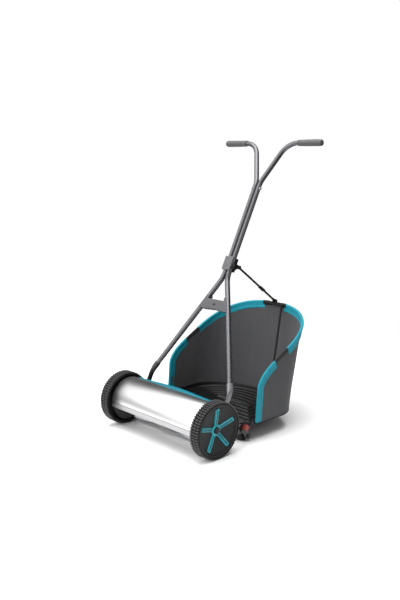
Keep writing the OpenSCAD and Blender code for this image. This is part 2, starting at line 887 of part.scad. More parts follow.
module spreader_screw() {
    color(steel) handle_frame() translate([0, 0, spreader_s + 22]) rotate([90, 0, 0]) {
        translate([0, 0, -spreader_d / 2]) cylinder(r = 2, h = spreader_d);
        translate([0, 0, spreader_d / 2]) cylinder(r = 4, h = 2.5);
    }
}

module clamp_tube_space() {
    for (side = [-1, 1]) on_side(side) {
        translate([lower_x, 0, clamp_s - over]) cylinder(r = lower_r, h = tube_joint_s - clamp_s + over);
        translate([lower_x, 0, tube_joint_s]) cylinder(r = upper_r, h = clamp_h);
    }
    rod_x([0, clamp_bolt_s], clamp_bolt_r, -clamp_w, clamp_w);
}

module clamp_front() {
    color(plastic_grey) handle_frame() difference() {
        translate([-clamp_w / 2, -clamp_d, clamp_s]) cube([clamp_w, clamp_d - clamp_split, clamp_h]);
        clamp_tube_space();
    }
}

module clamp_rear() {
    ear = sling_eye_w / 2 + face_gap;
    color(graphite) handle_frame() {
        difference() {
            translate([-clamp_w / 2, clamp_split, clamp_s]) cube([clamp_w, clamp_d - clamp_split, clamp_h]);
            clamp_tube_space();
        }
        for (side = [-1, 1]) on_side(side) {
            translate([ear, clamp_d - over, sling_s - 9]) cube([4, sling_n - clamp_d + over, 14]);
            rod_x([sling_n, sling_s], 7, ear, ear + 4);
        }
        rod_x([sling_n, sling_s], sling_pin_r, -ear - over, ear + over);
    }
}

module clamp_bolt() {
    color(steel) handle_frame() mirror([1, 0, 0])
        bolt_x([0, clamp_bolt_s], clamp_bolt_r, screw_head_r, -clamp_w / 2 - clamp_knob_w + 4,
            clamp_w / 2, screw_head_t);
}

module clamp_knob() {
    from = clamp_w / 2 + 0.3;
    color(black) handle_frame() difference() {
        union() {
            rod_x([0, clamp_bolt_s], clamp_knob_r - 2, from, from + clamp_knob_w);
            for (k = [0 : 5])
                rod_x([0, clamp_bolt_s] + (clamp_knob_r - 3) * [cos(60 * k), sin(60 * k)], 3,
                    from + 2, from + clamp_knob_w - 1);
        }
        rod_x([0, clamp_bolt_s], clamp_bolt_r + fit, from - over, from + clamp_knob_w - 3);
        rod_x([0, clamp_bolt_s], 5, from + clamp_knob_w - 2, from + clamp_knob_w + over);
    }
}

module upper_tube(side) {
    handle_frame() on_side(side) difference() {
        tube_path(bent_path(upper_path, upper_bends), upper_r);
        rod_x([0, cross_bolt_s], cross_bolt_r, 0, clamp_w);
    }
}

module upper_tube_left() {
    color(tube_grey) upper_tube(1);
}

module upper_tube_right() {
    color(tube_grey) upper_tube(-1);
}

module cross_bolt() {
    out = lower_x + upper_r;
    color(steel) handle_frame() {
        bolt_x([0, cross_bolt_s], cross_bolt_r, screw_head_r, -out, out, 4);
        translate([-out - 3, 0, cross_bolt_s]) rotate([0, 90, 0]) cylinder(r = screw_head_r, h = 3);
    }
}

module grip(side) {
    in = grip_reach - grip_l;
    handle_frame() on_side(side) turn_x([0, handle_len]) polygon([
        [upper_r, in], [upper_r + 2, in], [grip_r, in + 6], [grip_r, grip_reach - 5],
        [grip_r - 1.5, grip_reach - 1.5], [grip_r - 5, grip_reach], [0, grip_reach],
        [0, grip_tube_end], [upper_r, grip_tube_end]
    ]);
}

module grip_left() {
    color(graphite) grip(1);
}

module grip_right() {
    color(graphite) grip(-1);
}

// ---------- grass catcher ----------

// Point of a curved back: angle 0 is its left end, 180 its right end
function back_point(w, start, depth, power, angle) = [
    w * sign(cos(angle)) * pow(abs(cos(angle)), power),
    start + depth * pow(abs(sin(angle)), power)
];

function rim_point(angle) = back_point(half_w, straight_end, back_high, rim_power, angle);
function foot_point(w, depth, angle) = back_point(w, foot_end, depth, foot_power, angle);

function rim_height(y) = rim_start[1] + (y - rim_start[0]) * rim_slope;

// Front corner of the fabric's top edge, curving from the upright edge to the rim
function edge_curve(u) =
    (1 - u) * (1 - u) * edge_top + 2 * u * (1 - u) * edge_ctrl + u * u * rim_start;

function top_edge_left() = concat(
    [for (k = [0 : edge_steps]) let (e = edge_curve(k / edge_steps)) [half_w, e[0], e[1]]],
    [for (k = [1 : side_steps]) let (y = rim_start[0] + (straight_end - rim_start[0]) * k / side_steps)
        [half_w, y, rim_height(y)]]
);

function mirrored(list) = [for (k = [len(list) - 1 : -1 : 0]) [-list[k][0], list[k][1], list[k][2]]];

function top_edge() = concat(
    top_edge_left(),
    [for (k = [1 : back_steps - 1]) let (p = rim_point(180 * k / back_steps))
        [p[0], p[1], rim_height(p[1])]],
    mirrored(top_edge_left())
);

function foot_of(y) =
    catcher_front + (y - edge_top[0]) * foot_side / (straight_end - edge_top[0]);

function low_edge() = concat(
    [for (p = top_edge_left()) [half_w, foot_of(p[1]), fabric_low]],
    [for (k = [1 : back_steps - 1]) let (p = foot_point(half_w, back_low, 180 * k / back_steps))
        [p[0], p[1], fabric_low]],
    mirrored([for (p = top_edge_left()) [half_w, foot_of(p[1]), fabric_low]])
);

// Direction along a line of points at its point i
function along(p, i) = unit(p[min(i + 1, len(p) - 1)] - p[max(i - 1, 0)]);

// Outward normal of the fabric at column i
function out_at(top, low, i) = unit(cross(low[i] - top[i], along(top, i)));

module catcher_fabric() {
    top = top_edge();
    low = low_edge();
    n = len(top);
    in_top = [for (i = [0 : n - 1]) top[i] - fabric_t * out_at(top, low, i)];
    in_low = [for (i = [0 : n - 1]) low[i] - fabric_t * out_at(top, low, i)];
    ring = [for (i = [0 : n - 1]) each [top[i], low[i], in_low[i], in_top[i]]];
    color(fabric_grey) frame() polyhedron(
        points = ring,
        faces = concat(
            [[0, 1, 2, 3], [4 * n - 1, 4 * n - 2, 4 * n - 3, 4 * n - 4]],
            [for (i = [0 : n - 2], k = [0 : 3]) let (a = 4 * i + k, b = 4 * i + (k + 1) % 4)
                each [[a, a + 4, b + 4], [a, b + 4, b]]]
        )
    );
}

// A solid swept along the points p, its section drawn on the axes u and v at each point
module sweep(p, u, v, section) {
    n = len(p);
    m = len(section);
    polyhedron(
        points = [for (i = [0 : n - 1]) each [for (q = section) p[i] + q[0] * u[i] + q[1] * v[i]]],
        faces = concat(
            [[for (k = [0 : m - 1]) k]],
            [[for (k = [m - 1 : -1 : 0]) (n - 1) * m + k]],
            [for (i = [0 : n - 2], k = [0 : m - 1]) let (a = i * m + k, b = i * m + (k + 1) % m)
                each [[a, a + m, b + m], [a, b + m, b]]]
        )
    );
}

// The binding is a flat band folded over the fabric's edge
module binding(p, outward) {
    down = [for (i = [0 : len(p) - 1]) cross(along(p, i), outward[i])];
    t = fabric_t / 2 + 1.5;
    mid = [for (i = [0 : len(p) - 1]) p[i] - fabric_t / 2 * outward[i]];
    sweep(mid, outward, down, [
        [-t, -3], [-t, binding_w - 3], [t, binding_w - 3], [t, -3], [t * 0.5, -5.5], [-t * 0.5, -5.5]
    ]);
}

module front_bindings() {
    upright = [for (k = [0 : 3]) let (u = k / 4)
        [half_w, catcher_front + u * (edge_top[0] - catcher_front),
            fabric_low + 6 + u * (edge_top[1] - fabric_low - 6)]];
    curve = [for (k = [0 : edge_steps]) let (e = edge_curve(k / edge_steps)) [half_w, e[0], e[1]]];
    path = concat(upright, curve);
    color(teal) frame() for (side = [-1, 1]) on_side(side)
        binding(path, [for (p = path) [1, 0, 0]]);
}

module rim_bindings() {
    top = top_edge();
    low = low_edge();
    first = len(top_edge_left());
    stop = first + round(back_steps * clip_gap_angle / 180) - 1;
    start = first - 1;
    path = [for (i = [start : stop]) top[i]];
    color(teal) frame() for (side = [-1, 1]) on_side(side)
        binding(path, [for (i = [start : stop]) out_at(top, low, i)]);
}

module frame_rod() {
    top = top_edge();
    low = low_edge();
    lower = [for (s = [1, -1]) [s * half_w, catcher_front, fabric_low + 6]];
    path = concat([lower[0]], top, [lower[1]]);
    flat = [for (i = [0 : len(path) - 1])
        let (j = min(max(i - 1, 0), len(top) - 1))
        i == 0 ? [1, 0, 0] : i == len(path) - 1 ? [-1, 0, 0] : out_at(top, low, j)];
    mid = [for (i = [0 : len(path) - 1]) path[i] - fabric_t / 2 * flat[i]];
    up = [for (i = [0 : len(path) - 1]) cross(flat[i], along(path, i))];
    sides = 8;
    color(black) frame() sweep(mid, flat, up,
        [for (k = [0 : sides - 1]) rod_r * [cos(360 * k / sides), sin(360 * k / sides)]]);
}

// Pin that the suspension cord hooks on, above the middle of the rim
rim_rear_z = rim_height(rim_rear);
clip_pin = [rim_rear - fabric_t - 5, rim_rear_z + 11.5];

module rim_clip() {
    ear = hook_w / 2 + 2;
    color(black) frame() {
        front_extrude(rim_rear - 12, clip_back) polygon([
            [-clip_half, rim_rear_z - 6], [clip_half, rim_rear_z - 6],
            [clip_half, rim_rear_z + 1], [-clip_half, rim_rear_z + 1]
        ]);
        for (side = [-1, 1]) on_side(side)
            translate([ear, rim_rear - 12, rim_rear_z]) cube([4, 12, clip_pin[1] + 4 - rim_rear_z]);
        rod_x(clip_pin, clip_pin_r, -ear - over, ear + over);
    }
}

function pan_outline(w, depth, front) = concat(
    [[w, front]],
    [for (k = [0 : back_steps]) foot_point(w, depth, 180 * k / back_steps)],
    [[-w, front]]
);

module catcher_pan() {
    color(black) frame() {
        translate([0, 0, floor_z]) linear_extrude(height = pan_t)
            polygon(pan_outline(pan_half, pan_back, pan_front));
        translate([0, 0, floor_z]) linear_extrude(height = pan_rim_h) difference() {
            polygon(pan_outline(pan_half, pan_back, pan_front));
            polygon(pan_outline(pan_half - pan_t, pan_back - pan_t, pan_front - over));
        }
        for (inset = pan_ring_insets)
            translate([0, 0, floor_z]) linear_extrude(height = pan_t + pan_ring_h) difference() {
                polygon(pan_outline(pan_half - inset, pan_back - inset * 0.7, foot_end - 66));
                polygon(pan_outline(pan_half - inset - pan_ring_w, pan_back - inset * 0.7 - pan_ring_w,
                    foot_end - 67));
            }
        translate([-pan_lip_half, pan_lip_front, floor_z])
            cube([2 * pan_lip_half, pan_front - pan_lip_front + over, pan_t]);
        for (x = pan_hook_xs) difference() {
            union() {
                rod_x(rail_c, hook_wrap_r, x - pan_hook_w / 2, x + pan_hook_w / 2);
                translate([x - pan_hook_w / 2, rail_c[0], floor_z])
                    cube([pan_hook_w, pan_lip_front - rail_c[0] + 6, rail_c[1] - floor_z + hook_wrap_r]);
            }
            rod_x(rail_c, rail_r + fit, x - pan_hook_w, x + pan_hook_w);
            translate([x - pan_hook_w, rail_c[0] - rail_r - fit, floor_z - over])
                cube([2 * pan_hook_w, 2 * (rail_r + fit), rail_c[1] - floor_z + over]);
            translate([x - pan_hook_w, rail_c[0] - hook_wrap_r - over, floor_z - over])
                cube([2 * pan_hook_w, 2 * hook_wrap_r - 2, rail_c[1] - floor_z - 3]);
        }
    }
}

module stay_cord() {
    high = [clip_half - 4, rim_rear - 14, rim_rear_z - 4];
    low = [half_w - fabric_t - 1, rim_start[0] - 4, rim_start[1] - 2];
    run = low - high;
    flat = norm([run[0], run[1]]);
    color(black) frame() translate(high) rotate([0, 0, atan2(run[1], run[0])])
        rotate([0, atan2(flat, run[2]), 0]) cylinder(r = cord_r, h = norm(run));
}

// ---------- suspension cord ----------

// Local origin on the handle's hook: Z runs down the cord to the catcher's clip
sling_run = clip_pin - sling_top;
sling_len = norm(sling_run);
sling_lean = atan2(sling_run[0], sling_run[1]);

module sling_frame() {
    frame() translate([0, sling_top[0], sling_top[1]]) rotate([-sling_lean, 0, 0]) children();
}

module sling_cord() {
    color(black) sling_frame() {
        translate([0, 0, sling_eye_r - 1])
            cylinder(r = cord_r, h = sling_len - sling_eye_r - hook_out_r + 1);
        difference() {
            rod_x([0, 0], sling_eye_r, -sling_eye_w / 2, sling_eye_w / 2);
            rod_x([0, 0], sling_pin_r + fit, -sling_eye_w, sling_eye_w);
        }
    }
}

module sling_hook() {
    color(black) sling_frame() translate([0, 0, sling_len]) difference() {
        union() {
            rod_x([0, 0], hook_out_r, -hook_w / 2, hook_w / 2);
            translate([0, 0, -hook_out_r - 10]) cylinder(r = cord_r + 2, h = 12);
        }
        rod_x([0, 0], hook_in_r, -hook_w, hook_w);
        translate([0, 0, -hook_out_r - 11]) cylinder(r = cord_r, h = 11);
    }
}

module sling_slider() {
    color(black) sling_frame() translate([0, 0, sling_len * slider_at]) difference() {
        translate([-slider_w / 2, -slider_t / 2, -slider_l / 2]) cube([slider_w, slider_t, slider_l]);
        translate([0, 0, -slider_l]) cylinder(r = cord_r + fit, h = 2 * slider_l);
    }
}

side_plate_left();
side_plate_right();
front_guard();
tie_bar();
bed_bar();
bed_knife();
knife_screws();
frame_bolts();
stub_axles();
axle_clips();
reel_bearings();
catcher_rail();
handle_pivot_bolts();
reel_shaft();
reel_spiders();
reel_blades();
drive_pawls();
drive_pinion_left();
drive_pinion_right();
wheel_left();
wheel_right();
tyre_left();
tyre_right();
hub_star_left();
hub_star_right();
axle_cap_left();
axle_cap_right();
roller_bracket_left();
roller_bracket_right();
roller_shaft();
height_screws();
rear_roller();
height_knob_left();
height_knob_right();
handle_foot_left();
handle_foot_right();
lower_tube_left();
lower_tube_right();
spreader_bracket();
spreader_screw();
clamp_front();
clamp_rear();
clamp_bolt();
clamp_knob();
upper_tube_left();
upper_tube_right();
cross_bolt();
grip_left();
grip_right();
sling_cord();
sling_hook();
sling_slider();
catcher_pan();
catcher_fabric();
front_bindings();
rim_bindings();
frame_rod();
rim_clip();
stay_cord();
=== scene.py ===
"""Visual model of a push reel mower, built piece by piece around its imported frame.

All sizes in the classes are millimetres; meshes are made in metres. +X is the user's left, -Y the
way the mower is pushed and +Z is up.
"""
import json
import logging
import math
from dataclasses import dataclass
from enum import Enum
from typing import Callable, Iterable, Sequence

import bmesh
import bpy
import numpy as np
from mathutils import Matrix, Vector, noise

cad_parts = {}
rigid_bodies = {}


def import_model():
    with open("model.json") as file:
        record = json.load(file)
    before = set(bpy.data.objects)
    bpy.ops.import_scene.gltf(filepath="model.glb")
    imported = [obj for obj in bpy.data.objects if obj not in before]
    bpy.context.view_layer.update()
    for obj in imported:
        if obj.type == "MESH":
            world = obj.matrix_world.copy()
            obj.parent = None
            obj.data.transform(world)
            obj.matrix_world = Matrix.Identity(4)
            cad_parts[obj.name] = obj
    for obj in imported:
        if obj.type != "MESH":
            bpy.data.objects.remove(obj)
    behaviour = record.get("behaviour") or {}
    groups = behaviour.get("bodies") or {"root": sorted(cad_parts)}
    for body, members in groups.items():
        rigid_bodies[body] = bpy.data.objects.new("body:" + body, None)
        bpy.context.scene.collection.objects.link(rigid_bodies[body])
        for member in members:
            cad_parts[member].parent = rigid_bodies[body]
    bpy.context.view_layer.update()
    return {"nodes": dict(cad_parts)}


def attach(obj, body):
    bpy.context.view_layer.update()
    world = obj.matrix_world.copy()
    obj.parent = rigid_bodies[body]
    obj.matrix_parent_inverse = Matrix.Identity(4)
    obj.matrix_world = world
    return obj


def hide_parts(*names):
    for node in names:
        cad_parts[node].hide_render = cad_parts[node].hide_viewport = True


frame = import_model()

MM = 0.001
FACING = 0.9  # least cosine of a normal that faces along an axis
FLAT_ANGLE = 0.8  # faces that meet below this angle, in degrees, are made one
LOG = logging.getLogger("mower")
Colour = tuple[float, float, float, float]
Point = Sequence[float]
Test = Callable[[Vector, Vector], bool]


class Body(Enum):
    """The bodies that pieces ride on."""

    DECK = "deck"
    WHEEL_LEFT = "wheel_assembly_left"
    WHEEL_RIGHT = "wheel_assembly_right"
    HANDLE = "handle"
    SLING = "sling"
    CATCHER = "catcher"


class Slot(Enum):
    """The record's material slots, passed along with new pieces."""

    GUARD = "guard_steel"
    TEAL_PLASTIC = "teal_plastic"
    WHEEL = "wheel_plastic"
    TREAD = "tread_rubber"
    FOOT = "foot_enamel"
    TUBE = "tube_enamel"
    GREY_PLASTIC = "grey_plastic"
    BLACK_PLASTIC = "black_plastic"
    GRIP = "grip_rubber"
    CORD = "cord"
    FABRIC = "grey_fabric"
    TEAL_FABRIC = "teal_fabric"
    ROD = "rod_enamel"


class Pick(Enum):
    """What an edit-mode selection is made of."""

    VERT = "VERT"
    EDGE = "EDGE"
    FACE = "FACE"


class Side(Enum):
    """The two sides of the mower, by the sign of X."""

    LEFT = 1
    RIGHT = -1

    @property
    def tag(self) -> str:
        """The side's name in lower case."""
        return self.name.lower()


def srgb(red: int, green: int, blue: int) -> Colour:
    """Turns a screen colour into the linear one that shaders take.

    Args:
        red: Red from 0 to 255.
        green: Green from 0 to 255.
        blue: Blue from 0 to 255.

    Returns:
        The linear colour with an alpha of 1.
    """
    parts = [c / 255 for c in (red, green, blue)]
    line = [c / 12.92 if c <= 0.04045 else ((c + 0.055) / 1.055) ** 2.4 for c in parts]
    return (line[0], line[1], line[2], 1.0)


def shade(colour: Colour, factor: float) -> Colour:
    """Makes a colour lighter or darker.

    Args:
        colour: The colour to start from.
        factor: What each channel is multiplied by.

    Returns:
        The new colour, no channel above 1.
    """
    return tuple(min(1.0, c * factor) for c in colour[:3]) + (1.0,)


# ---------------------------------------------------------------- shaders


class Value:
    """One output of a shader node, on which sums are written as on a number."""

    def __init__(self, shader: "Shader", socket: bpy.types.NodeSocket) -> None:
        """Keeps the socket and the shader it belongs to."""
        self.shader = shader
        self.socket = socket

    def apply(self, operation: str, other: "Value | float" = 0.0, first: bool = True) -> "Value":
        """Adds one Math node.

        Args:
            operation: The Math node's operation.
            other: The second number of the operation.
            first: Whether this value is the first number of the operation.

        Returns:
            The node's result.
        """
        pair = (self, other) if first else (other, self)
        return self.shader.node("ShaderNodeMath", {"operation": operation}, dict(enumerate(pair)))

    def __add__(self, other: "Value | float") -> "Value":
        """Sum."""
        return self.apply("ADD", other)

    def __radd__(self, other: float) -> "Value":
        """Sum, the number first."""
        return self.apply("ADD", other)

    def __sub__(self, other: "Value | float") -> "Value":
        """Difference."""
        return self.apply("SUBTRACT", other)

    def __rsub__(self, other: float) -> "Value":
        """Difference, the number first."""
        return self.apply("SUBTRACT", other, first=False)

    def __mul__(self, other: "Value | float") -> "Value":
        """Product."""
        return self.apply("MULTIPLY", other)

    def __rmul__(self, other: float) -> "Value":
        """Product, the number first."""
        return self.apply("MULTIPLY", other)

    def __gt__(self, other: "Value | float") -> "Value":
        """1 where this value is above the other."""
        return self.apply("GREATER_THAN", other)

    def sine(self) -> "Value":
        """Sine of this value in radians."""
        return self.apply("SINE")

    def size(self) -> "Value":
        """This value without its sign."""
        return self.apply("ABSOLUTE")

    def ramp(self, low: float, high: float) -> "Value":
        """Rises smoothly from 0 to 1.

        Args:
            low: Where the result is 0.
            high: Where the result is 1.

        Returns:
            The smooth step.
        """
        return self.shader.node(
            "ShaderNodeMapRange",
            {"interpolation_type": "SMOOTHSTEP"},
            {0: self, 1: low, 2: high, 3: 0.0, 4: 1.0},
        )


class Shader:
    """The node tree of one finish."""

    def __init__(self, name: str) -> None:
        """Makes an empty material.

        Args:
            name: The material's name.
        """
        self.material = bpy.data.materials.new(name)
        self.material.use_nodes = True
        self.tree = self.material.node_tree
        self.tree.nodes.clear()

    def node(
        self, kind: str, settings: dict | None = None, inputs: dict | None = None, output: int = 0
    ) -> Value:
        """Adds a node.

        Args:
            kind: The node's type.
            settings: The node's own settings, and "stops" for a colour ramp.
            inputs: Values or links by socket name or number.
            output: Which output to return.

        Returns:
            The output.
        """
        made = self.tree.nodes.new(kind)
        for key, value in (settings or {}).items():
            if key == "stops":
                ramp = made.color_ramp.elements
                while len(ramp) < len(value):
                    ramp.new(0.5)
                for stop, (place, colour) in zip(ramp, value):
                    stop.position, stop.color = place, colour
            else:
                setattr(made, key, value)
        for key, value in (inputs or {}).items():
            if isinstance(value, Value):
                self.tree.links.new(value.socket, made.inputs[key])
            else:
                made.inputs[key].default_value = value
        return Value(self, made.outputs[output])

    def place(self, stretch: Point = (1, 1, 1), turn: Point = (0, 0, 0)) -> Value:
        """Object coordinates, stretched and turned by a Mapping node.

        Args:
            stretch: Scale along each axis.
            turn: Angles in radians.

        Returns:
            The coordinates.
        """
        spot = self.node("ShaderNodeTexCoord", output=3)
        return self.node("ShaderNodeMapping", None, {0: spot, 2: tuple(turn), 3: tuple(stretch)})

    def axis(self, vector: Value, number: int) -> Value:
        """One coordinate of a vector."""
        return self.node("ShaderNodeSeparateXYZ", None, {0: vector}, number)

    def cloth(self, number: int) -> Value:
        """The piece's own UV coordinate, in metres: 0 along it and 1 across it."""
        return self.axis(self.node("ShaderNodeTexCoord", output=2), number)

    def grain(self, vector: Value, scale: float, detail: float = 2.0) -> Value:
        """Noise from about 0 to 1.

        Args:
            vector: Where it is read.
            scale: Cells per metre.
            detail: Octaves.

        Returns:
            The noise.
        """
        return self.node(
            "ShaderNodeTexNoise", None, {"Vector": vector, "Scale": scale, "Detail": detail}
        )

    def mix(self, factor: "Value | float", low: "Colour | Value", high: "Colour | Value") -> Value:
        """Mixes two colours.

        Args:
            factor: 0 for the first colour and 1 for the second.
            low: The first colour.
            high: The second colour.

        Returns:
            The mixed colour.
        """
        settings = {"data_type": "RGBA", "clamp_factor": True}
        return self.node("ShaderNodeMix", settings, {0: factor, 6: low, 7: high}, 2)

    def bump(self, height: Value, depth: float) -> Value:
        """A Bump node.

        Args:
            height: Height from 0 to 1.
            depth: Height in millimetres of 1.

        Returns:
            The bent normal.
        """
        return self.node(
            "ShaderNodeBump", None, {"Strength": 1.0, "Distance": depth * MM, "Height": height}
        )

    def close(self, **sockets: object) -> bpy.types.Material:
        """Adds the surface shader and the output.

        Args:
            **sockets: The shader's sockets, with _ for a space in their names.

        Returns:
            The finished material.
        """
        inputs = {key.replace("_", " "): value for key, value in sockets.items()}
        surface = self.node("ShaderNodeBsdfPrincipled", None, inputs)
        self.node_out(surface)
        return self.material

    def node_out(self, surface: Value) -> None:
        """Links a surface to the material output."""
        made = self.tree.nodes.new("ShaderNodeOutputMaterial")
        self.tree.links.new(surface.socket, made.inputs["Surface"])


_made: dict[str, bpy.types.Material] = {}


@dataclass(frozen=True)
class Finish:
    """A finish, made into a material once and then shared."""

    name: str
    colour: Colour

    def material(self) -> bpy.types.Material:
        """The finish's material."""
        if self.name not in _made:
            _made[self.name] = self.build(Shader(self.name))
        return _made[self.name]

    def build(self, shader: Shader) -> bpy.types.Material:
        """Makes the nodes; each finish has its own.

        Args:
            shader: The empty node tree of this finish.

        Returns:
            The material.
        """
        raise NotImplementedError


@dataclass(frozen=True)
class Moulded(Finish):
    """Moulded plastic or rubber with a fine eroded texture."""

    rough: float = 0.45
    texture: float = 0.8
    depth: float = 0.05
    mottle: float = 0.16
    shine: float = 0.5

    def build(self, shader: Shader) -> bpy.types.Material:
        """Speckled colour, uneven gloss and a pebbled surface.

        Args:
            shader: The empty node tree of this finish.

        Returns:
            The material.
        """
        spot = shader.place()
        cloud = shader.grain(spot, 22, 3)
        pebble = shader.grain(spot, 1 / (self.texture * MM), 3)
        low, high = shade(self.colour, 1 - self.mottle), shade(self.colour, 1 + self.mottle)
        return shader.close(
            Base_Color=shader.mix(cloud * 0.7 + pebble * 0.3, low, high),
            Roughness=self.rough - 0.08 + cloud * 0.1 + pebble * 0.06,
            Specular_IOR_Level=self.shine,
            Normal=shader.bump(pebble, self.depth),
        )


@dataclass(frozen=True)
class Enamel(Finish):
    """Paint on metal: a smooth, slightly orange-peeled coat."""

    rough: float = 0.32
    metal: float = 0.0
    coat: float = 0.25
    peel: float = 0.02

    def build(self, shader: Shader) -> bpy.types.Material:
        """Fine flake and orange peel under a clear coat.

        Args:
            shader: The empty node tree of this finish.

        Returns:
            The material.
        """
        spot = shader.place()
        flake = shader.grain(spot, 900, 1)
        peel = shader.grain(spot, 260, 2)
        cloud = shader.grain(spot, 9, 2)
        tone = flake * 0.4 + cloud * 0.6
        return shader.close(
            Base_Color=shader.mix(tone, shade(self.colour, 0.92), shade(self.colour, 1.08)),
            Roughness=self.rough - 0.06 + peel * 0.12,
            Metallic=self.metal,
            Coat_Weight=self.coat,
            Coat_Roughness=0.12,
            Normal=shader.bump(peel, self.peel),
        )


@dataclass(frozen=True)
class BrushedSheet(Finish):
    """Brushed stainless sheet, with a darker, rougher strip below its front fold and a thin painted
    shadow line in the fold's crease.
    """

    fold: float = 110.0
    # Colour of the darker strip below the fold; a deep shade of it is the crease's painted shadow
    # line.
    strip: Colour = (0.44, 0.44, 0.445, 1.0)

    def build(self, shader: Shader) -> bpy.types.Material:
        """Long hairlines along X, a darker, rougher strip below the fold's height, and a thin dark
        line just under the fold as painted shadow in the crease.

        Args:
            shader: The empty node tree of this finish.

        Returns:
            The material.
        """
        hair = shader.grain(shader.place((9, 900, 900)), 1, 4)
        long_hair = shader.grain(shader.place((2.5, 260, 260)), 1, 3)
        spot = shader.place()
        cloud = shader.grain(spot, 7, 2)
        line = hair * 0.5 + long_hair * 0.5
        height = shader.axis(spot, 2)
        below = 1 - height.ramp((self.fold - 1.0) * MM, (self.fold + 0.4) * MM)
        sheet = shader.mix(line, shade(self.colour, 0.9), shade(self.colour, 1.08))
        strip = shader.mix(line, shade(self.strip, 0.9), shade(self.strip, 1.1))
        # Painted shadow: a thin dark line just below the fold height, where the crease is shaded.
        crease = 1 - (height - (self.fold - 1.6) * MM).size().ramp(0.4 * MM, 1.5 * MM)
        folded = shader.mix(below, sheet, strip)
        return shader.close(
            Base_Color=shader.mix(crease, folded, shade(self.strip, 0.35)),
            Roughness=0.2 + line * 0.14 + cloud * 0.05 + below * 0.12,
            Metallic=1.0,
            Normal=shader.bump(line, 0.012),
        )


@dataclass(frozen=True)
class BareSteel(Finish):
    """Zinc-plated or ground steel."""

    rough: float = 0.32

    def build(self, shader: Shader) -> bpy.types.Material:
        """Cloudy plating with faint scratches.

        Args:
            shader: The empty node tree of this finish.

        Returns:
            The material.
        """
        spot = shader.place()
        cloud = shader.grain(spot, 60, 3)
        scratch = shader.grain(shader.place((60, 900, 400)), 1, 2)
        return shader.close(
            Base_Color=shader.mix(cloud, shade(self.colour, 0.82), shade(self.colour, 1.12)),
            Roughness=self.rough - 0.06 + cloud * 0.1 + scratch * 0.08,
            Metallic=1.0,
            Normal=shader.bump(scratch, 0.01),
        )


@dataclass(frozen=True)
class Woven(Finish):
    """Plain-woven polyester sheet, read from the piece's UV map in metres."""

    thread: float = 1.3

    def build(self, shader: Shader) -> bpy.types.Material:
        """Warp and weft threads with a melange of lighter yarns.

        Args:
            shader: The empty node tree of this finish.

        Returns:
            The material.
        """
        along, across = shader.cloth(0), shader.cloth(1)
        turn = 2 * math.pi / (self.thread * MM)
        weave = (along * turn).sine() * (across * turn).sine() * 0.5 + 0.5
        spot = shader.place()
        yarn = shader.grain(shader.place((700, 700, 30)), 1, 2)
        cloud = shader.grain(spot, 6, 3)
        tone = weave * 0.3 + yarn * 0.4 + cloud * 0.3
        return shader.close(
            Base_Color=shader.mix(tone, shade(self.colour, 0.72), shade(self.colour, 1.3)),
            Roughness=0.78 + cloud * 0.12,
            Sheen_Weight=0.12,
            Sheen_Roughness=0.5,
            Specular_IOR_Level=0.3,
            Normal=shader.bump(weave, 0.22),
        )


@dataclass(frozen=True)
class Tape(Finish):
    """Woven binding tape with a row of stitches along each side."""

    rib: float = 1.6
    stitch: float = 4.2
    rows: tuple[float, ...] = (15.0, 24.5)

    def build(self, shader: Shader) -> bpy.types.Material:
        """Cross ribs, sunk dashes of thread and slight fading.

        Args:
            shader: The empty node tree of this finish.

        Returns:
            The material.
        """
        along, across = shader.cloth(0), shader.cloth(1)
        ribs = (along * (2 * math.pi / (self.rib * MM))).sine() * 0.5 + 0.5
        dash = (along * (2 * math.pi / (self.stitch * MM))).sine() > -0.3
        seam: Value | None = None
        for row in self.rows:
            near = 1 - (across - row * MM).size().ramp(0.35 * MM, 0.95 * MM)
            seam = near if seam is None else seam + near
        thread = seam * dash
        cloud = shader.grain(shader.place(), 12, 3)
        body = shader.mix(
            ribs * 0.35 + cloud * 0.65, shade(self.colour, 0.84), shade(self.colour, 1.16)
        )
        return shader.close(
            Base_Color=shader.mix(thread, body, shade(self.colour, 0.5)),
            Roughness=0.56 + ribs * 0.06 + cloud * 0.08,
            Specular_IOR_Level=0.3,
            Sheen_Weight=0.1,
            Sheen_Roughness=0.4,
            Normal=shader.bump(ribs * 0.4 + (1 - seam) * 0.6 + thread * 0.3, 0.35),
        )


@dataclass(frozen=True)
class Braid(Finish):
    """Braided cord: two sets of strands that wind round it."""

    pitch: float = 5.0
    strands: int = 4

    def build(self, shader: Shader) -> bpy.types.Material:
        """Crossing strands from the UV map, along it in metres and round it from 0 to 1.

        Args:
            shader: The empty node tree of this finish.

        Returns:
            The material.
        """
        along = shader.cloth(0) * (2 * math.pi / (self.pitch * MM))
        around = shader.cloth(1) * (2 * math.pi * self.strands)
        braid = (along + around).sine() * (along - around).sine() * 0.5 + 0.5
        fuzz = shader.grain(shader.place(), 900, 2)
        return shader.close(
            Base_Color=shader.mix(
                braid * 0.7 + fuzz * 0.3, shade(self.colour, 0.55), shade(self.colour, 1.6)
            ),
            Roughness=0.7 + fuzz * 0.15,
            Specular_IOR_Level=0.2,
            Normal=shader.bump(braid, 0.3),
        )


@dataclass(frozen=True)
class Dimpled(Finish):
    """Soft grip rubber with a field of small dimples."""

    pitch: float = 3.2

    def build(self, shader: Shader) -> bpy.types.Material:
        """Round dimples with a darker floor.

        Args:
            shader: The empty node tree of this finish.

        Returns:
            The material.
        """
        spot = shader.place()
        cells = {"Vector": spot, "Scale": 1 / (self.pitch * MM)}
        cell = shader.node("ShaderNodeTexVoronoi", {"feature": "F1"}, cells)
        dimple = cell.ramp(0.12, 0.42)
        cloud = shader.grain(spot, 60, 3)
        return shader.close(
            # The dimple floors are drawn darker than the grip around them.
            Base_Color=shader.mix(
                dimple * 0.5 + cloud * 0.5, shade(self.colour, 0.75), shade(self.colour, 1.2)
            ),
            Roughness=0.5 + cloud * 0.16,
            Normal=shader.bump(dimple * 0.8 + cloud * 0.2, 0.14),
        )


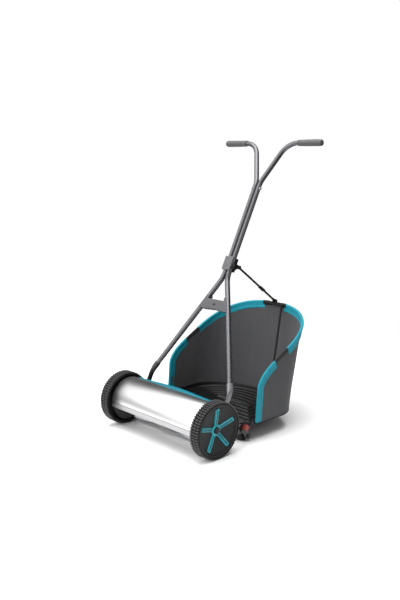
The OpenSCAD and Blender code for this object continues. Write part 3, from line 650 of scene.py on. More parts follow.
@dataclass(frozen=True)
class Floor(Finish):
    """Matt studio floor that fades into the white behind it."""

    near: float = 0.95
    far: float = 1.9

    def build(self, shader: Shader) -> bpy.types.Material:
        """Almost flat white with a trace of cloud, and clear far out.

        Args:
            shader: The empty node tree of this finish.

        Returns:
            The material.
        """
        spot = shader.place()
        cloud = shader.grain(spot, 3, 2)
        reach = shader.node("ShaderNodeVectorMath", {"operation": "LENGTH"}, {0: spot}, 1)
        return shader.close(
            Base_Color=shader.mix(cloud, shade(self.colour, 0.985), self.colour),
            Roughness=0.9,
            Specular_IOR_Level=0.1,
            Alpha=1 - reach.ramp(self.near, self.far),
        )


class Finishes:
    """The finishes of the mower."""

    guard = BrushedSheet("guard_sheet", (0.72, 0.72, 0.725, 1.0))
    teal = Moulded("teal_moulding", srgb(0, 108, 124), rough=0.4, depth=0.03, shine=0.35)
    # Painted light on the wheel star, one plastic: a darker teal as painted shade in the channel
    # floors, a lighter teal as painted highlight on the walls and ring.
    teal_dark = Moulded("teal_recess", srgb(0, 88, 100), rough=0.5, depth=0.04)
    teal_light = Moulded("teal_rib", srgb(22, 148, 160), rough=0.36, depth=0.03)
    wheel = Moulded("wheel_moulding", srgb(30, 30, 32), rough=0.5, depth=0.05, shine=0.22)
    black = Moulded("black_moulding", srgb(18, 18, 20), rough=0.42, shine=0.3)
    grey = Moulded("grey_moulding", srgb(70, 70, 72), rough=0.5, depth=0.05, mottle=0.1)
    clamp = Moulded("clamp_moulding", srgb(92, 92, 94), rough=0.5, texture=1.4, depth=0.12)
    red = Moulded("red_moulding", srgb(128, 36, 32), rough=0.42)
    # The lugs' lighter grey against the near-black carcass is painted highlight; both are the same
    # rubber.
    tread = Moulded("tread_moulding", srgb(58, 58, 59), rough=0.5, texture=1.6, depth=0.12,
                     shine=0.35)
    tyre = Moulded("tyre_moulding", srgb(9, 9, 10), rough=0.6, texture=1.2, depth=0.08,
                    shine=0.15)
    frame_black = Enamel("black_paint", srgb(18, 18, 20), rough=0.38)
    reel_paint = Enamel("reel_paint", srgb(60, 60, 62), rough=0.4)
    # The two feet are one part: the near foot's lighter grey is painted reflection, the far foot's
    # near-black painted shade.
    foot_grey = Enamel("foot_paint", srgb(112, 112, 114), rough=0.36, metal=0.3)
    foot_black = Enamel("far_foot_paint", srgb(30, 30, 31), rough=0.4)
    tube = Enamel("tube_paint", srgb(98, 98, 101), rough=0.27, metal=0.9, coat=0.0, peel=0.004)
    rod = Enamel("rod_paint", srgb(20, 20, 21), rough=0.36)
    steel = BareSteel("plated_steel", (0.56, 0.56, 0.58, 1.0))
    knife = BareSteel("ground_steel", (0.42, 0.42, 0.44, 1.0), rough=0.38)
    gear = Moulded("gear_moulding", srgb(70, 70, 70), rough=0.4)
    pan = Moulded("pan_moulding", srgb(8, 8, 9), rough=0.42, texture=1.5, depth=0.04, shine=0.25)
    fabric = Woven("woven_sheet", srgb(66, 66, 68))
    tape = Tape("binding_tape", srgb(0, 132, 150))
    hem = Woven("black_hem", srgb(16, 16, 17), thread=1.1)
    cord = Braid("braided_cord", srgb(7, 7, 8))
    grip = Dimpled("grip_rubber_finish", srgb(72, 72, 74))
    floor = Floor("studio_floor", (0.93, 0.93, 0.93, 1.0))


# ---------------------------------------------------------------- workbench


class Bench:
    """Modelling by hand, one piece at a time, with Blender's own operators."""

    def __init__(self) -> None:
        """Starts with nothing on the bench."""
        self.work: bpy.types.Object | None = None

    def clear(self) -> None:
        """Leaves edit mode and selects nothing."""
        active = bpy.context.view_layer.objects.active
        if active is not None and active.mode != "OBJECT":
            bpy.ops.object.mode_set(mode="OBJECT")
        bpy.ops.object.select_all(action="DESELECT")

    def take(self, name: str, piece: bpy.types.Object | None = None) -> bpy.types.Object:
        """Puts a piece on the bench under a name.

        Args:
            name: The piece's name.
            piece: The piece, or nothing for the one just added.

        Returns:
            The piece.
        """
        if piece is not None:
            self.clear()
            piece.select_set(True)
            bpy.context.view_layer.objects.active = piece
        self.work = bpy.context.view_layer.objects.active
        self.work.name = name
        return self.work

    def edit(self) -> None:
        """Enters edit mode with everything selected."""
        if self.work.mode != "EDIT":
            bpy.ops.object.mode_set(mode="EDIT")
        bpy.ops.mesh.select_mode(type="VERT")
        bpy.ops.mesh.select_all(action="SELECT")

    def done(self) -> bpy.types.Object:
        """Leaves edit mode and gives the piece."""
        if self.work.mode != "OBJECT":
            bpy.ops.object.mode_set(mode="OBJECT")
        return self.work

    def point(self, name: str, place: Point) -> None:
        """Starts a piece as one selected vertex, from a plane merged to its middle.

        Args:
            name: The piece's name.
            place: The vertex in millimetres.
        """
        self.clear()
        bpy.ops.mesh.primitive_plane_add(size=MM)
        self.take(name)
        self.edit()
        bpy.ops.mesh.merge(type="CENTER")
        bpy.ops.transform.translate(value=Vector(place) * MM)

    def ring(self, name: str, radius: float, centre: Point, sides: int = 24) -> None:
        """Starts a piece as an open ring about Z, selected in edit mode.

        Args:
            name: The piece's name.
            radius: Radius in millimetres.
            centre: Centre in millimetres.
            sides: Number of vertices.
        """
        self.clear()
        bpy.ops.mesh.primitive_circle_add(vertices=sides, radius=radius * MM)
        self.take(name)
        self.edit()
        bpy.ops.transform.translate(value=Vector(centre) * MM)

    def box(self, name: str, low: Point, high: Point) -> None:
        """Starts a piece as a box between two corners, in edit mode.

        Args:
            name: The piece's name.
            low: The lowest corner in millimetres.
            high: The highest corner in millimetres.
        """
        self.clear()
        bpy.ops.mesh.primitive_cube_add(size=1)
        self.take(name)
        self.edit()
        a, b = Vector(low) * MM, Vector(high) * MM
        bpy.ops.transform.resize(value=b - a, center_override=(0, 0, 0))
        bpy.ops.transform.translate(value=(a + b) / 2)

    def cylinder(self, name: str, radius: float, low: float, high: float, sides: int = 32) -> None:
        """Starts a piece as a cylinder about Z, in edit mode.

        Args:
            name: The piece's name.
            radius: Radius in millimetres.
            low: Its lower end.
            high: Its upper end.
            sides: Number of sides.
        """
        self.clear()
        bpy.ops.mesh.primitive_cylinder_add(
            vertices=sides, radius=radius * MM, depth=(high - low) * MM,
            location=(0, 0, (low + high) / 2 * MM),
        )
        self.take(name)
        bpy.ops.object.transform_apply(location=True, rotation=True, scale=True)
        self.edit()

    def extrude(self, by: Point) -> None:
        """Extrudes the selection.

        Args:
            by: The move in millimetres.
        """
        bpy.ops.mesh.extrude_region_move(TRANSFORM_OT_translate={"value": Vector(by) * MM})

    def scale(self, by: Point, centre: Point) -> None:
        """Scales the selection about a centre in millimetres."""
        bpy.ops.transform.resize(value=by, center_override=Vector(centre) * MM)

    def move(self, by: Point) -> None:
        """Moves the selection by millimetres."""
        bpy.ops.transform.translate(value=Vector(by) * MM)

    def turn(self, angle: float, axis: str, centre: Point) -> None:
        """Turns the selection; with no window the operator turns it the other way.

        Args:
            angle: Angle in radians.
            axis: "X", "Y" or "Z".
            centre: A point on the axis in millimetres.
        """
        bpy.ops.transform.rotate(
            value=angle, orient_axis=axis, center_override=Vector(centre) * MM
        )

    def weld(self, distance: float = 0.002) -> None:
        """Welds the loose triangles of a CAD node's copy, by a distance in millimetres."""
        bpy.ops.mesh.remove_doubles(threshold=distance * MM)

    def spin(self, steps: int, angle: float, centre: Point, axis: Point) -> None:
        """Spins the selection.

        Args:
            steps: Number of steps.
            angle: Angle in degrees, right-handed about the axis.
            centre: A point on the axis in millimetres.
            axis: Direction of the axis.
        """
        bpy.ops.mesh.spin(
            steps=steps, angle=-math.radians(angle), center=Vector(centre) * MM, axis=axis,
            use_auto_merge=False,
        )

    def select(self, pick: Pick, test: Test) -> int:
        """Selects by place and direction.

        Args:
            pick: What to select.
            test: Takes the middle in millimetres, and the normal, or an edge's direction.

        Returns:
            How many were selected.
        """
        bpy.ops.mesh.select_mode(type=pick.value)
        bpy.ops.mesh.select_all(action="DESELECT")
        mesh = bmesh.from_edit_mesh(self.work.data)
        items = {Pick.VERT: mesh.verts, Pick.EDGE: mesh.edges, Pick.FACE: mesh.faces}[pick]
        count = 0
        for item in items:
            if pick is Pick.VERT:
                middle, way = item.co, item.normal
            elif pick is Pick.EDGE:
                first, last = (v.co for v in item.verts)
                middle, way = (first + last) / 2, (last - first).normalized()
            else:
                middle, way = item.calc_center_median(), item.normal
            if test(middle / MM, way):
                item.select_set(True)
                count += 1
        mesh.select_flush_mode()
        bmesh.update_edit_mesh(self.work.data)
        return count

    def inset(self, width: float, depth: float = 0.0) -> None:
        """Insets the selected faces by millimetres."""
        bpy.ops.mesh.inset(thickness=width * MM, depth=depth * MM, use_even_offset=True)

    def merge(self, distance: float = 0.01) -> None:
        """Merges doubles in edit mode and points the faces outwards.

        Args:
            distance: Merge distance in millimetres.
        """
        bpy.ops.mesh.select_all(action="SELECT")
        bpy.ops.mesh.remove_doubles(threshold=distance * MM)
        bpy.ops.mesh.normals_make_consistent(inside=False)

    def cap(self) -> None:
        """Closes the open ends."""
        bpy.ops.mesh.select_all(action="SELECT")
        bpy.ops.mesh.fill_holes(sides=0)

    def modify(self, kind: str, **settings: object) -> None:
        """Adds a modifier and applies it.

        Args:
            kind: The modifier's type.
            **settings: Its settings.
        """
        self.done()
        modifier = self.work.modifiers.new(kind.lower(), kind)
        for key, value in settings.items():
            setattr(modifier, key, value)
        bpy.ops.object.modifier_apply(modifier=modifier.name)

    def bevel(self, width: float, segments: int = 2, angle: float = 35) -> None:
        """Rounds the sharp edges.

        Args:
            width: Width in millimetres.
            segments: Segments.
            angle: Sharpest angle, in degrees, that is left alone.
        """
        self.modify(
            "BEVEL", width=width * MM, segments=segments, limit_method="ANGLE",
            angle_limit=math.radians(angle), use_clamp_overlap=True,
        )

    def smooth(self, angle: float = 32) -> None:
        """Shades smooth.

        Args:
            angle: Edges sharper than this, in degrees, stay sharp.
        """
        self.done()
        self.clear()
        self.take(self.work.name, self.work)
        bpy.ops.object.shade_smooth_by_angle(angle=math.radians(angle))

    def lathe(self, name: str, profile: Iterable[tuple[float, float]], centre: Point,
              steps: int = 72) -> None:
        """Turns a profile about the X axis through a centre.

        Args:
            name: The piece's name.
            profile: Points (radius, x) in millimetres, closed or ending on the axis.
            centre: Y and Z of the axis in millimetres.
            steps: Steps round it.
        """
        points = list(profile)
        self.point(name, (points[0][1], centre[0], centre[1] + points[0][0]))
        for (r0, x0), (r1, x1) in zip(points, points[1:]):
            self.extrude((x1 - x0, 0, r1 - r0))
        bpy.ops.mesh.select_all(action="SELECT")
        self.spin(steps, 360, (0, *centre), (1, 0, 0))
        self.merge()

    def join(self, name: str, parts: Sequence[bpy.types.Object]) -> bpy.types.Object:
        """Joins pieces into the first one.

        Args:
            name: The joined piece's name.
            parts: The pieces.

        Returns:
            The joined piece.
        """
        self.done()
        self.clear()
        for part in parts:
            part.select_set(True)
        bpy.context.view_layer.objects.active = parts[0]
        bpy.ops.object.join()
        return self.take(name, parts[0])

    def copy(self, name: str, piece: bpy.types.Object) -> bpy.types.Object:
        """Copies a piece with its own mesh.

        Args:
            name: The copy's name.
            piece: The piece.

        Returns:
            The copy, on the bench.
        """
        made = bpy.data.objects.new(name, piece.data.copy())
        bpy.context.scene.collection.objects.link(made)
        return self.take(name, made)

    def mirror(self, name: str, piece: bpy.types.Object) -> bpy.types.Object:
        """Copies a piece to the other side of the mower.

        Args:
            name: The copy's name.
            piece: The piece.

        Returns:
            The copy.
        """
        self.copy(name, piece)
        self.edit()
        bpy.ops.transform.resize(value=(-1, 1, 1), center_override=(0, 0, 0))
        bpy.ops.mesh.normals_make_consistent(inside=False)
        return self.done()

    def seat(self, place: Point, turn: Point) -> bpy.types.Object:
        """Turns a piece, moves it, and leaves its object at the origin.

        Args:
            place: Where its origin goes, in millimetres.
            turn: Angles about X, Y and Z in degrees.

        Returns:
            The piece.
        """
        self.done()
        self.clear()
        self.take(self.work.name, self.work)
        self.work.rotation_euler = [math.radians(angle) for angle in turn]
        self.work.location = Vector(place) * MM
        bpy.ops.object.transform_apply(location=True, rotation=True, scale=True)
        return self.work

    def shell(self, name: str, points: Sequence[Vector], faces: Sequence[Sequence[int]],
              uv: Sequence[tuple[float, float]] | None = None) -> bpy.types.Object:
        """Makes a sheet or a band from its points, for soft goods.

        Args:
            name: The piece's name.
            points: Points in millimetres.
            faces: Faces by point number.
            uv: The UV of each face corner, in the order of the faces.

        Returns:
            The piece, on the bench.
        """
        mesh = bpy.data.meshes.new(name)
        mesh.from_pydata([Vector(p) * MM for p in points], [], faces)
        if uv is not None:
            layer = mesh.uv_layers.new(name="UVMap")
            layer.data.foreach_set("uv", np.array(uv, dtype=np.float32).ravel())
        made = bpy.data.objects.new(name, mesh)
        bpy.context.scene.collection.objects.link(made)
        return self.take(name, made)


BENCH = Bench()


def finish_piece(piece: bpy.types.Object, look: Finish, body: Body | str, slot: Slot | str,
                 *nodes: str) -> bpy.types.Object:
    """Dresses a piece and makes it ride on its body.

    Args:
        piece: The piece.
        look: Its finish.
        body: The body it rides on.
        slot: The material slot it takes its finish from; not used.
        *nodes: The CAD nodes that it stands for.

    Returns:
        The piece.
    """
    piece.data.materials.clear()
    piece.data.materials.append(look.material())
    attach(piece, body.value if isinstance(body, Body) else body)
    if nodes:
        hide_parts(*nodes)
    return piece


@dataclass(frozen=True)
class Refined:
    """A CAD node whose copy only needs its edges rounded and its curves smoothed."""

    node: str
    look: Finish
    round_edge: float = 0.0
    segments: int = 2
    smooth: float = 32

    def build(self) -> bpy.types.Object:
        """Copies, merges, rounds and dresses the node.

        Returns:
            The new piece.
        """
        source = frame["nodes"][self.node]
        BENCH.copy(f"{self.node}_finished", source)
        BENCH.edit()
        BENCH.weld()
        bpy.ops.mesh.dissolve_limited(angle_limit=math.radians(FLAT_ANGLE))
        if self.round_edge > 0:
            BENCH.bevel(self.round_edge, self.segments)
        BENCH.smooth(self.smooth)
        body = source.parent.name.split(":", 1)[1]
        slot = source.material_slots[0].material.name
        return finish_piece(BENCH.work, self.look, body, slot, self.node)


# ---------------------------------------------------------------- sub-assemblies


@dataclass(frozen=True)
class Guard:
    """The rolled sheet in front of the cutting reel."""

    half_width: float = 232.0
    centre: tuple[float, float] = (-252.5, 105.0)
    radius: float = 85.0
    start: float = 64.0
    fold: float = 176.0
    strip: float = 21.0
    thickness: float = 2.0
    steps: int = 60
    lead: Point = (0.0, 1.5, -3.5)
    crease: tuple[Point, ...] = ((0.0, 1.6, -0.5), (0.0, 0.0, -1.4), (0.0, -0.9, -0.8))
    hem: tuple[Point, ...] = ((0.0, 0.8, -1.4), (0.0, 4.0, -0.6))

    def build(self) -> None:
        """Spins the roll, folds the strip and its hem, and gives the sheet its thickness."""
        a = math.radians(self.start)
        y, z = self.centre
        BENCH.point("guard_sheet_metal", (
            -self.half_width, y + self.radius * math.cos(a), z + self.radius * math.sin(a)))
        BENCH.extrude(self.lead)
        BENCH.select(Pick.VERT, lambda p, n: p.z > z + self.radius * math.sin(a) - 0.5)
        BENCH.spin(self.steps, self.fold - self.start, (0, y, z), (1, 0, 0))
        for step in (*self.crease, (0, 0, 3.3 - self.strip), *self.hem):
            BENCH.extrude(step)
        bpy.ops.mesh.select_all(action="SELECT")
        BENCH.extrude((2 * self.half_width, 0, 0))
        BENCH.merge()
        BENCH.modify("SOLIDIFY", thickness=self.thickness * MM, offset=0.0, use_even_offset=True)
        BENCH.bevel(0.6, 2, 50)
        BENCH.smooth(28)
        finish_piece(BENCH.work, Finishes.guard, Body.DECK, Slot.GUARD, "front_guard")


@dataclass(frozen=True)
class Wheel:
    """One wheel: lugged tyre, dished disc, star and cap."""

    side: Side
    axle: tuple[float, float] = (-257.5, 105.0)
    inner: float = 236.5
    outer: float = 280.0
    radius: float = 105.0
    tread_floor: float = 100.0
    rim: float = 98.0
    dish_radius: float = 86.0
    dish_edge: float = 272.0
    dish_hub: float = 260.4
    hub: float = 20.0
    lugs: int = 64
    lug_run: float = 12.6
    lug_skew: float = 12.0
    lug_half: float = 3.3
    arms: int = 5
    phase: float = 91.5
    arm_tip: float = 82.0
    cap_radius: float = 13.2
    cap_height: float = 6.4

    @property
    def body(self) -> Body:
        """The body that the wheel turns with."""
        return Body.WHEEL_LEFT if self.side is Side.LEFT else Body.WHEEL_RIGHT

    def build(self) -> None:
        """Builds the wheel's pieces on its side."""
        self.tyre()
        self.disc()
        self.star()
        self.cap()

    def settle(self, look: Finish, slot: Slot, *nodes: str) -> None:
        """Mirrors the piece on the bench if the wheel is on the right, and dresses it.

        Args:
            look: Its finish.
            slot: Its material slot.
            *nodes: The CAD nodes that it stands for.
        """
        piece = BENCH.done()
        if self.side is Side.RIGHT:
            BENCH.edit()
            bpy.ops.transform.resize(value=(-1, 1, 1), center_override=(0, 0, 0))
            bpy.ops.mesh.normals_make_consistent(inside=False)
            BENCH.done()
        finish_piece(piece, look, self.body, slot, *nodes)

    def tyre(self) -> None:
        """The tyre's carcass with rounded shoulders, and its lugs in three zigzag rows, the lugs
        lighter than the carcass as painted highlight.
        """
        low, x0, x1 = self.tread_floor, self.inner, self.outer
        BENCH.lathe(f"tyre_carcass_{self.side.tag}", [
            (self.rim - 3, x0 + 0.6), (self.rim - 2, x0), (low - 2.6, x0), (low - 0.8, x0 + 0.7),
            (low, x0 + 2.4), (low, x1 - 3.2), (low - 1.0, x1 - 1.2), (low - 2.4, x1 - 0.4),
            (self.rim + 0.6, x1), (self.rim - 1.2, x1 - 0.2), (self.rim - 1.2, x1 - 3.4),
            (self.rim - 1.0, x0 + 2.2), (self.rim - 3, x0 + 2.2), (self.rim - 3, x0 + 0.6),
        ], self.axle, 128)
        BENCH.smooth(40)
        self.settle(Finishes.tyre, Slot.TREAD, f"tyre_{self.side.tag}")
        middle, half = (x0 + x1) / 2, self.lug_run / 2
        ends = (
            (x0 + 0.8, x0 + 0.8 + self.lug_run, self.lug_skew),
            (middle - half, middle + half, -self.lug_skew),
            (x1 - 13.4, x1 - 2.0, self.lug_skew),
        )
        rows = [self.lug_row(number, *end) for number, end in enumerate(ends)]
        BENCH.join(f"tyre_lugs_{self.side.tag}", rows)
        BENCH.smooth(20)
        # The lugs take a lighter grey than the carcass as painted highlight.
        self.settle(Finishes.tread, Slot.TREAD)

    def lug_row(self, number: int, x0: float, x1: float, skew: float) -> bpy.types.Object:
        """Models one lug and doubles it round the tyre until the row is full.

        Args:
            number: The row's number.
            x0: The row's inner side.
            x1: The row's outer side.
            skew: Angle of the lugs in degrees.

        Returns:
            The row.
        """
        y, z = self.axle
        half, centre = self.lug_half, (0, y, z)
        top = z + self.radius - 0.15
        BENCH.box(f"lug_row_{number}_{self.side.tag}", (x0, y - half, z + self.tread_floor - 1.2),
                  (x1, y + half, top))
        BENCH.select(Pick.FACE, lambda p, n: n.z > FACING)
        BENCH.scale((0.86, 0.7, 1), ((x0 + x1) / 2, y, top))
        bpy.ops.mesh.bevel(offset=0.5 * MM, segments=1, affect="EDGES")
        BENCH.edit()
        lean = math.tan(math.radians(skew))
        for end in (x0, x1):
            BENCH.select(Pick.VERT, lambda p, n, e=end: abs(p.x - e) < (x1 - x0) / 2)
            BENCH.move((0, lean * (end - (x0 + x1) / 2), 0))
        pitch = 2 * math.pi / self.lugs
        step = math.pi
        while step > pitch * 0.75:
            bpy.ops.mesh.select_all(action="SELECT")
            bpy.ops.mesh.duplicate()
            BENCH.turn(step, "X", centre)
            step /= 2
        return BENCH.done()

    def disc(self) -> None:
        """The outer face: rim lip, shallow ring grooves, dish and hub."""
        x1 = self.outer
        slope = (self.dish_edge - self.dish_hub) / (self.dish_radius - self.hub)

        def face(radius: float) -> float:
            """Height of the dish at a radius."""
            return self.dish_edge + 0.35 - (self.dish_radius - radius) * slope

        r = self.dish_radius
        profile = [
            (self.rim - 1.3, x1 - 6), (self.rim - 1.3, x1 - 2.6), (self.rim - 2.0, x1 - 1.9),
            (r + 4.2, x1 - 1.9), (r + 3.0, x1 - 2.4), (r + 1.0, self.dish_edge + 1.2),
            (r - 0.6, face(r - 0.6)), (r - 3.0, face(r - 3.0)), (r - 3.5, face(r - 3.5) - 0.7),
            (r - 4.5, face(r - 4.5) - 0.7), (r - 5.0, face(r - 5.0)),
            (self.hub + 9, face(self.hub + 9)), (self.hub + 7.5, face(self.hub + 7.5) + 0.8),
            (self.hub + 1, face(self.hub + 1) + 1.2), (self.hub - 1, self.dish_hub + 2.6),
            (10, self.dish_hub + 2.6), (10, self.dish_hub + 1.9),
            (self.hub + 2, self.dish_hub - 1.0), (r - 4, face(r - 4) - 1.9),
            (r, self.dish_edge - 1.6), (self.rim - 4, x1 - 6), (self.rim - 1.3, x1 - 6),
        ]
        BENCH.lathe(f"wheel_disc_{self.side.tag}", profile, self.axle, 96)
        BENCH.smooth(24)
        self.settle(Finishes.wheel, Slot.WHEEL)

    def star(self) -> None:
        """The five arms and the ring round the hub: channel walls and ring in a lighter teal as
        painted highlight, channel floors in a darker teal as painted shade.
        """
        y, z = self.axle
        slope = (self.dish_edge - self.dish_hub) / (self.dish_radius - self.hub)
        dish = math.atan(slope)
        x = self.dish_hub + 0.35
        # Channel pieces take the lighter teal as painted highlight, floor pieces the darker teal as
        # painted shade.
        for kind, width, low, high, tip, look, nodes in (
            ("channel", 8.4, -0.5, 4.8, self.arm_tip, Finishes.teal_light,
             (f"hub_star_{self.side.tag}",)),
            ("floor", 6.4, -0.4, 2.3, self.arm_tip - 1.6, Finishes.teal_dark, ()),
        ):
            BENCH.box(f"star_{kind}_{self.side.tag}", (x + low, y - width, z + self.hub - 4),
                      (x + high, y + width, z + tip))
            BENCH.select(Pick.FACE, lambda p, n: n.z > FACING)
            BENCH.inset(0.01)
            BENCH.scale((1, 0.72, 1), (x, y, z + tip))
            BENCH.select(Pick.FACE, lambda p, n: n.x > FACING)
            BENCH.scale((1, 0.74, 0.97), (x + high, y, z + (self.hub + tip) / 2))
            if kind == "channel":
                BENCH.inset(2.3)
                BENCH.inset(0.2, -3.2)
            else:
                BENCH.inset(2.2, 0.9)
            BENCH.edit()
            BENCH.turn(-dish, "Y", (x, y, z + self.hub))
            BENCH.turn(math.radians(90 - self.phase), "X", (0, y, z))
            arm = BENCH.done()
            parts = [arm]
            for k in range(1, self.arms):
                BENCH.copy(f"arm_{kind}_{k}", arm)
                BENCH.edit()
                BENCH.turn(2 * math.pi * k / self.arms, "X", (0, y, z))
                parts.append(BENCH.done())
            if kind == "channel":
                BENCH.lathe("star_ring", [
                    (12, x + 0.5), (21, x + 1.2), (21, x + 3.6), (19.5, x + 4.6), (15.0, x + 5.2),
                    (14.2, x + 6.2), (13.4, x + 6.2), (12, x + 5.0), (12, x + 0.5)],
                    self.axle, 60)
                parts.append(BENCH.done())
            BENCH.join(f"star_{kind}_{self.side.tag}", parts)
            BENCH.bevel(0.7, 2, 40)
            BENCH.smooth(30)
            self.settle(look, Slot.TEAL_PLASTIC, *nodes)

    def cap(self) -> None:
        """The hexagonal cap with a dished middle."""
        BENCH.cylinder(f"hub_cap_{self.side.tag}", self.cap_radius, 0, self.cap_height, 6)
        BENCH.select(Pick.FACE, lambda p, n: n.z > FACING)
        BENCH.inset(2.2)
        BENCH.inset(0.8, -1.4)
        BENCH.inset(3.6)
        BENCH.inset(0.6, 0.9)
        BENCH.done()
        BENCH.bevel(0.5, 2, 30)
        BENCH.smooth(30)
        BENCH.seat((self.dish_hub + 4.6, *self.axle), (90, 0, 90))
        self.settle(Finishes.black, Slot.BLACK_PLASTIC, f"axle_cap_{self.side.tag}")


@dataclass(frozen=True)
class Handle:
    """The tubular handle, modelled upright in its own frame and then tilted on its pivot."""

    pivot: tuple[float, float, float] = (0.0, -175.0, 134.5)
    tilt: float = -27.0
    lower_radius: float = 10.0
    upper_radius: float = 9.5
    lower_x: float = 10.2
    foot_x: float = 212.5
    foot_s: float = 88.0
    merge_s: float = 504.0
    joint_s: float = 560.5
    spread_s: float = 913.0
    length: float = 1086.0
    grip_in: float = 137.0
    grip_out: float = 252.0
    clamp_s: float = 533.0
    clamp_half: float = 20.2
    clamp_depth: float = 17.0
    rib_count: int = 9
    rib_run: float = 44.0
    tube_sides: int = 28
    flare_run: float = 173.0
    flare_angle: float = 23.0
    socket_radius: float = 11.7
    socket_length: float = 23.0
    socket_overlap: float = 24.0
    tab_x: float = 218.5
    grip_rings: int = 8

    def build(self) -> None:
        """Builds the tubes, feet, grips and the clamp's ribbed front."""
        self.tubes()
        self.feet()
        self.grips()
        self.clamp()

    def settle(self, piece: bpy.types.Object, look: Finish, slot: Slot, *nodes: str) -> None:
        """Tilts a piece on the handle's pivot and dresses it.

        Args:
            piece: The piece in the handle's own frame.
            look: Its finish.
            slot: Its material slot.
            *nodes: The CAD nodes that it stands for.
        """
        BENCH.take(piece.name, piece)
        BENCH.seat(self.pivot, (self.tilt, 0, 0))
        finish_piece(BENCH.work, look, Body.HANDLE, slot, *nodes)

    def bent_tube(self, name: str, radius: float, corners: Sequence[tuple[float, float]],
                  bends: Sequence[float]) -> bpy.types.Object:
        """Draws a tube in the X-Z plane: straight runs and spun bends.

        Args:
            name: The piece's name.
            radius: The tube's radius.
            corners: The corners (x, z) of its centreline.
            bends: The centreline radius at each inner corner.

        Returns:
            The tube.
        """
        spots = [Vector((x, 0, z)) for x, z in corners]
        ways = [(b - a).normalized() for a, b in zip(spots, spots[1:])]
        BENCH.ring(name, radius, (0, 0, 0), self.tube_sides)
        first = math.degrees(math.atan2(ways[0].x, ways[0].z))
        BENCH.seat(spots[0], (0, first, 0))
        BENCH.edit()
        place = spots[0]
        for number, bend in enumerate(bends, start=1):
            before, after = ways[number - 1], ways[number]
            turn = before.angle(after)
            trim = bend * math.tan(turn / 2)
            start = spots[number] - before * trim
            BENCH.extrude(start - place)
            axis = before.cross(after).normalized()
            centre = start + axis.cross(before) * bend
            BENCH.spin(12, math.degrees(turn), centre, axis)
            place = spots[number] + after * trim
        BENCH.extrude(spots[-1] - place)
        BENCH.cap()
        BENCH.merge()
        BENCH.smooth(40)
        return BENCH.work

    def tubes(self) -> None:
        """The two lower and the two upper tubes."""
        lower = self.bent_tube("lower_pipe_left", self.lower_radius, [
            (self.foot_x, self.foot_s), (self.lower_x, self.merge_s), (self.lower_x, self.joint_s)],
            [100])
        flare = self.lower_x + self.flare_run * math.tan(math.radians(self.flare_angle))
        upper = self.bent_tube("upper_pipe_left", self.upper_radius, [
            (self.lower_x, self.joint_s), (self.lower_x, self.spread_s), (flare, self.length),
            (self.grip_out - 7, self.length)], [80, 78])
        for kind, left in (("lower", lower), ("upper", upper)):
            right = BENCH.mirror(f"{kind}_pipe_right", left)
            for side, piece in ((Side.LEFT, left), (Side.RIGHT, right)):
                self.settle(piece, Finishes.tube, Slot.TUBE, f"{kind}_tube_{side.tag}")

    def feet(self) -> None:
        """The flattened ends that the lower tubes stand on: one part, the near foot in lighter grey
        as painted reflection and the far foot near-black as painted shade.
        """
        splay = math.degrees(math.atan2(self.foot_x - self.lower_x, self.merge_s - self.foot_s))
        way = Vector((-math.sin(math.radians(splay)), 0, math.cos(math.radians(splay))))
        top = Vector((self.foot_x, 0, self.foot_s)) + way * self.socket_overlap
        BENCH.ring("foot_left", self.socket_radius, (0, 0, 0), self.tube_sides)
        BENCH.seat(top, (0, -splay, 0))
        BENCH.edit()
        BENCH.extrude(-way * self.socket_length)
        place = top - way * self.socket_length
        tab = self.tab_x
        for height, x, thick, wide, level in (
            (80, 214.6, 9.2, 12.0, 0.5), (70, 217.4, 5.2, 12.6, 1.0), (61, 218.4, 2.6, 12.9, 1.0),
            (54, tab, 2.1, 12.8, 1.0), (12, tab, 2.1, 12.8, 1.0), (5, tab, 2.1, 12.6, 1.0),
            (-2, tab, 2.1, 12.2, 1.0), (-7, tab, 2.0, 10.0, 1.0), (-10.5, tab, 1.9, 7.0, 1.0),
            (-12.6, tab, 1.6, 3.4, 1.0),
        ):
            target = Vector((x, 0, height))
            BENCH.extrude(target - place)
            mesh = bmesh.from_edit_mesh(BENCH.work.data)
            ends = [v.co for v in mesh.verts if v.select]
            middle = sum(ends, Vector()) / len(ends)
            size = [max(abs(c[i] - middle[i]) for c in ends) / MM for i in (0, 1, 2)]
            BENCH.scale((thick / max(size[0], 0.1), wide / size[1], 1 - level), target)
            place = target
        BENCH.cap()
        BENCH.merge()
        BENCH.smooth(40)
        left = BENCH.work
        right = BENCH.mirror("foot_right", left)
        # Same part on both sides: the near left foot takes painted reflection, the far right foot
        # painted shade.
        self.settle(left, Finishes.foot_grey, Slot.FOOT, "handle_foot_left")
        self.settle(right, Finishes.foot_black, Slot.FOOT, "handle_foot_right")

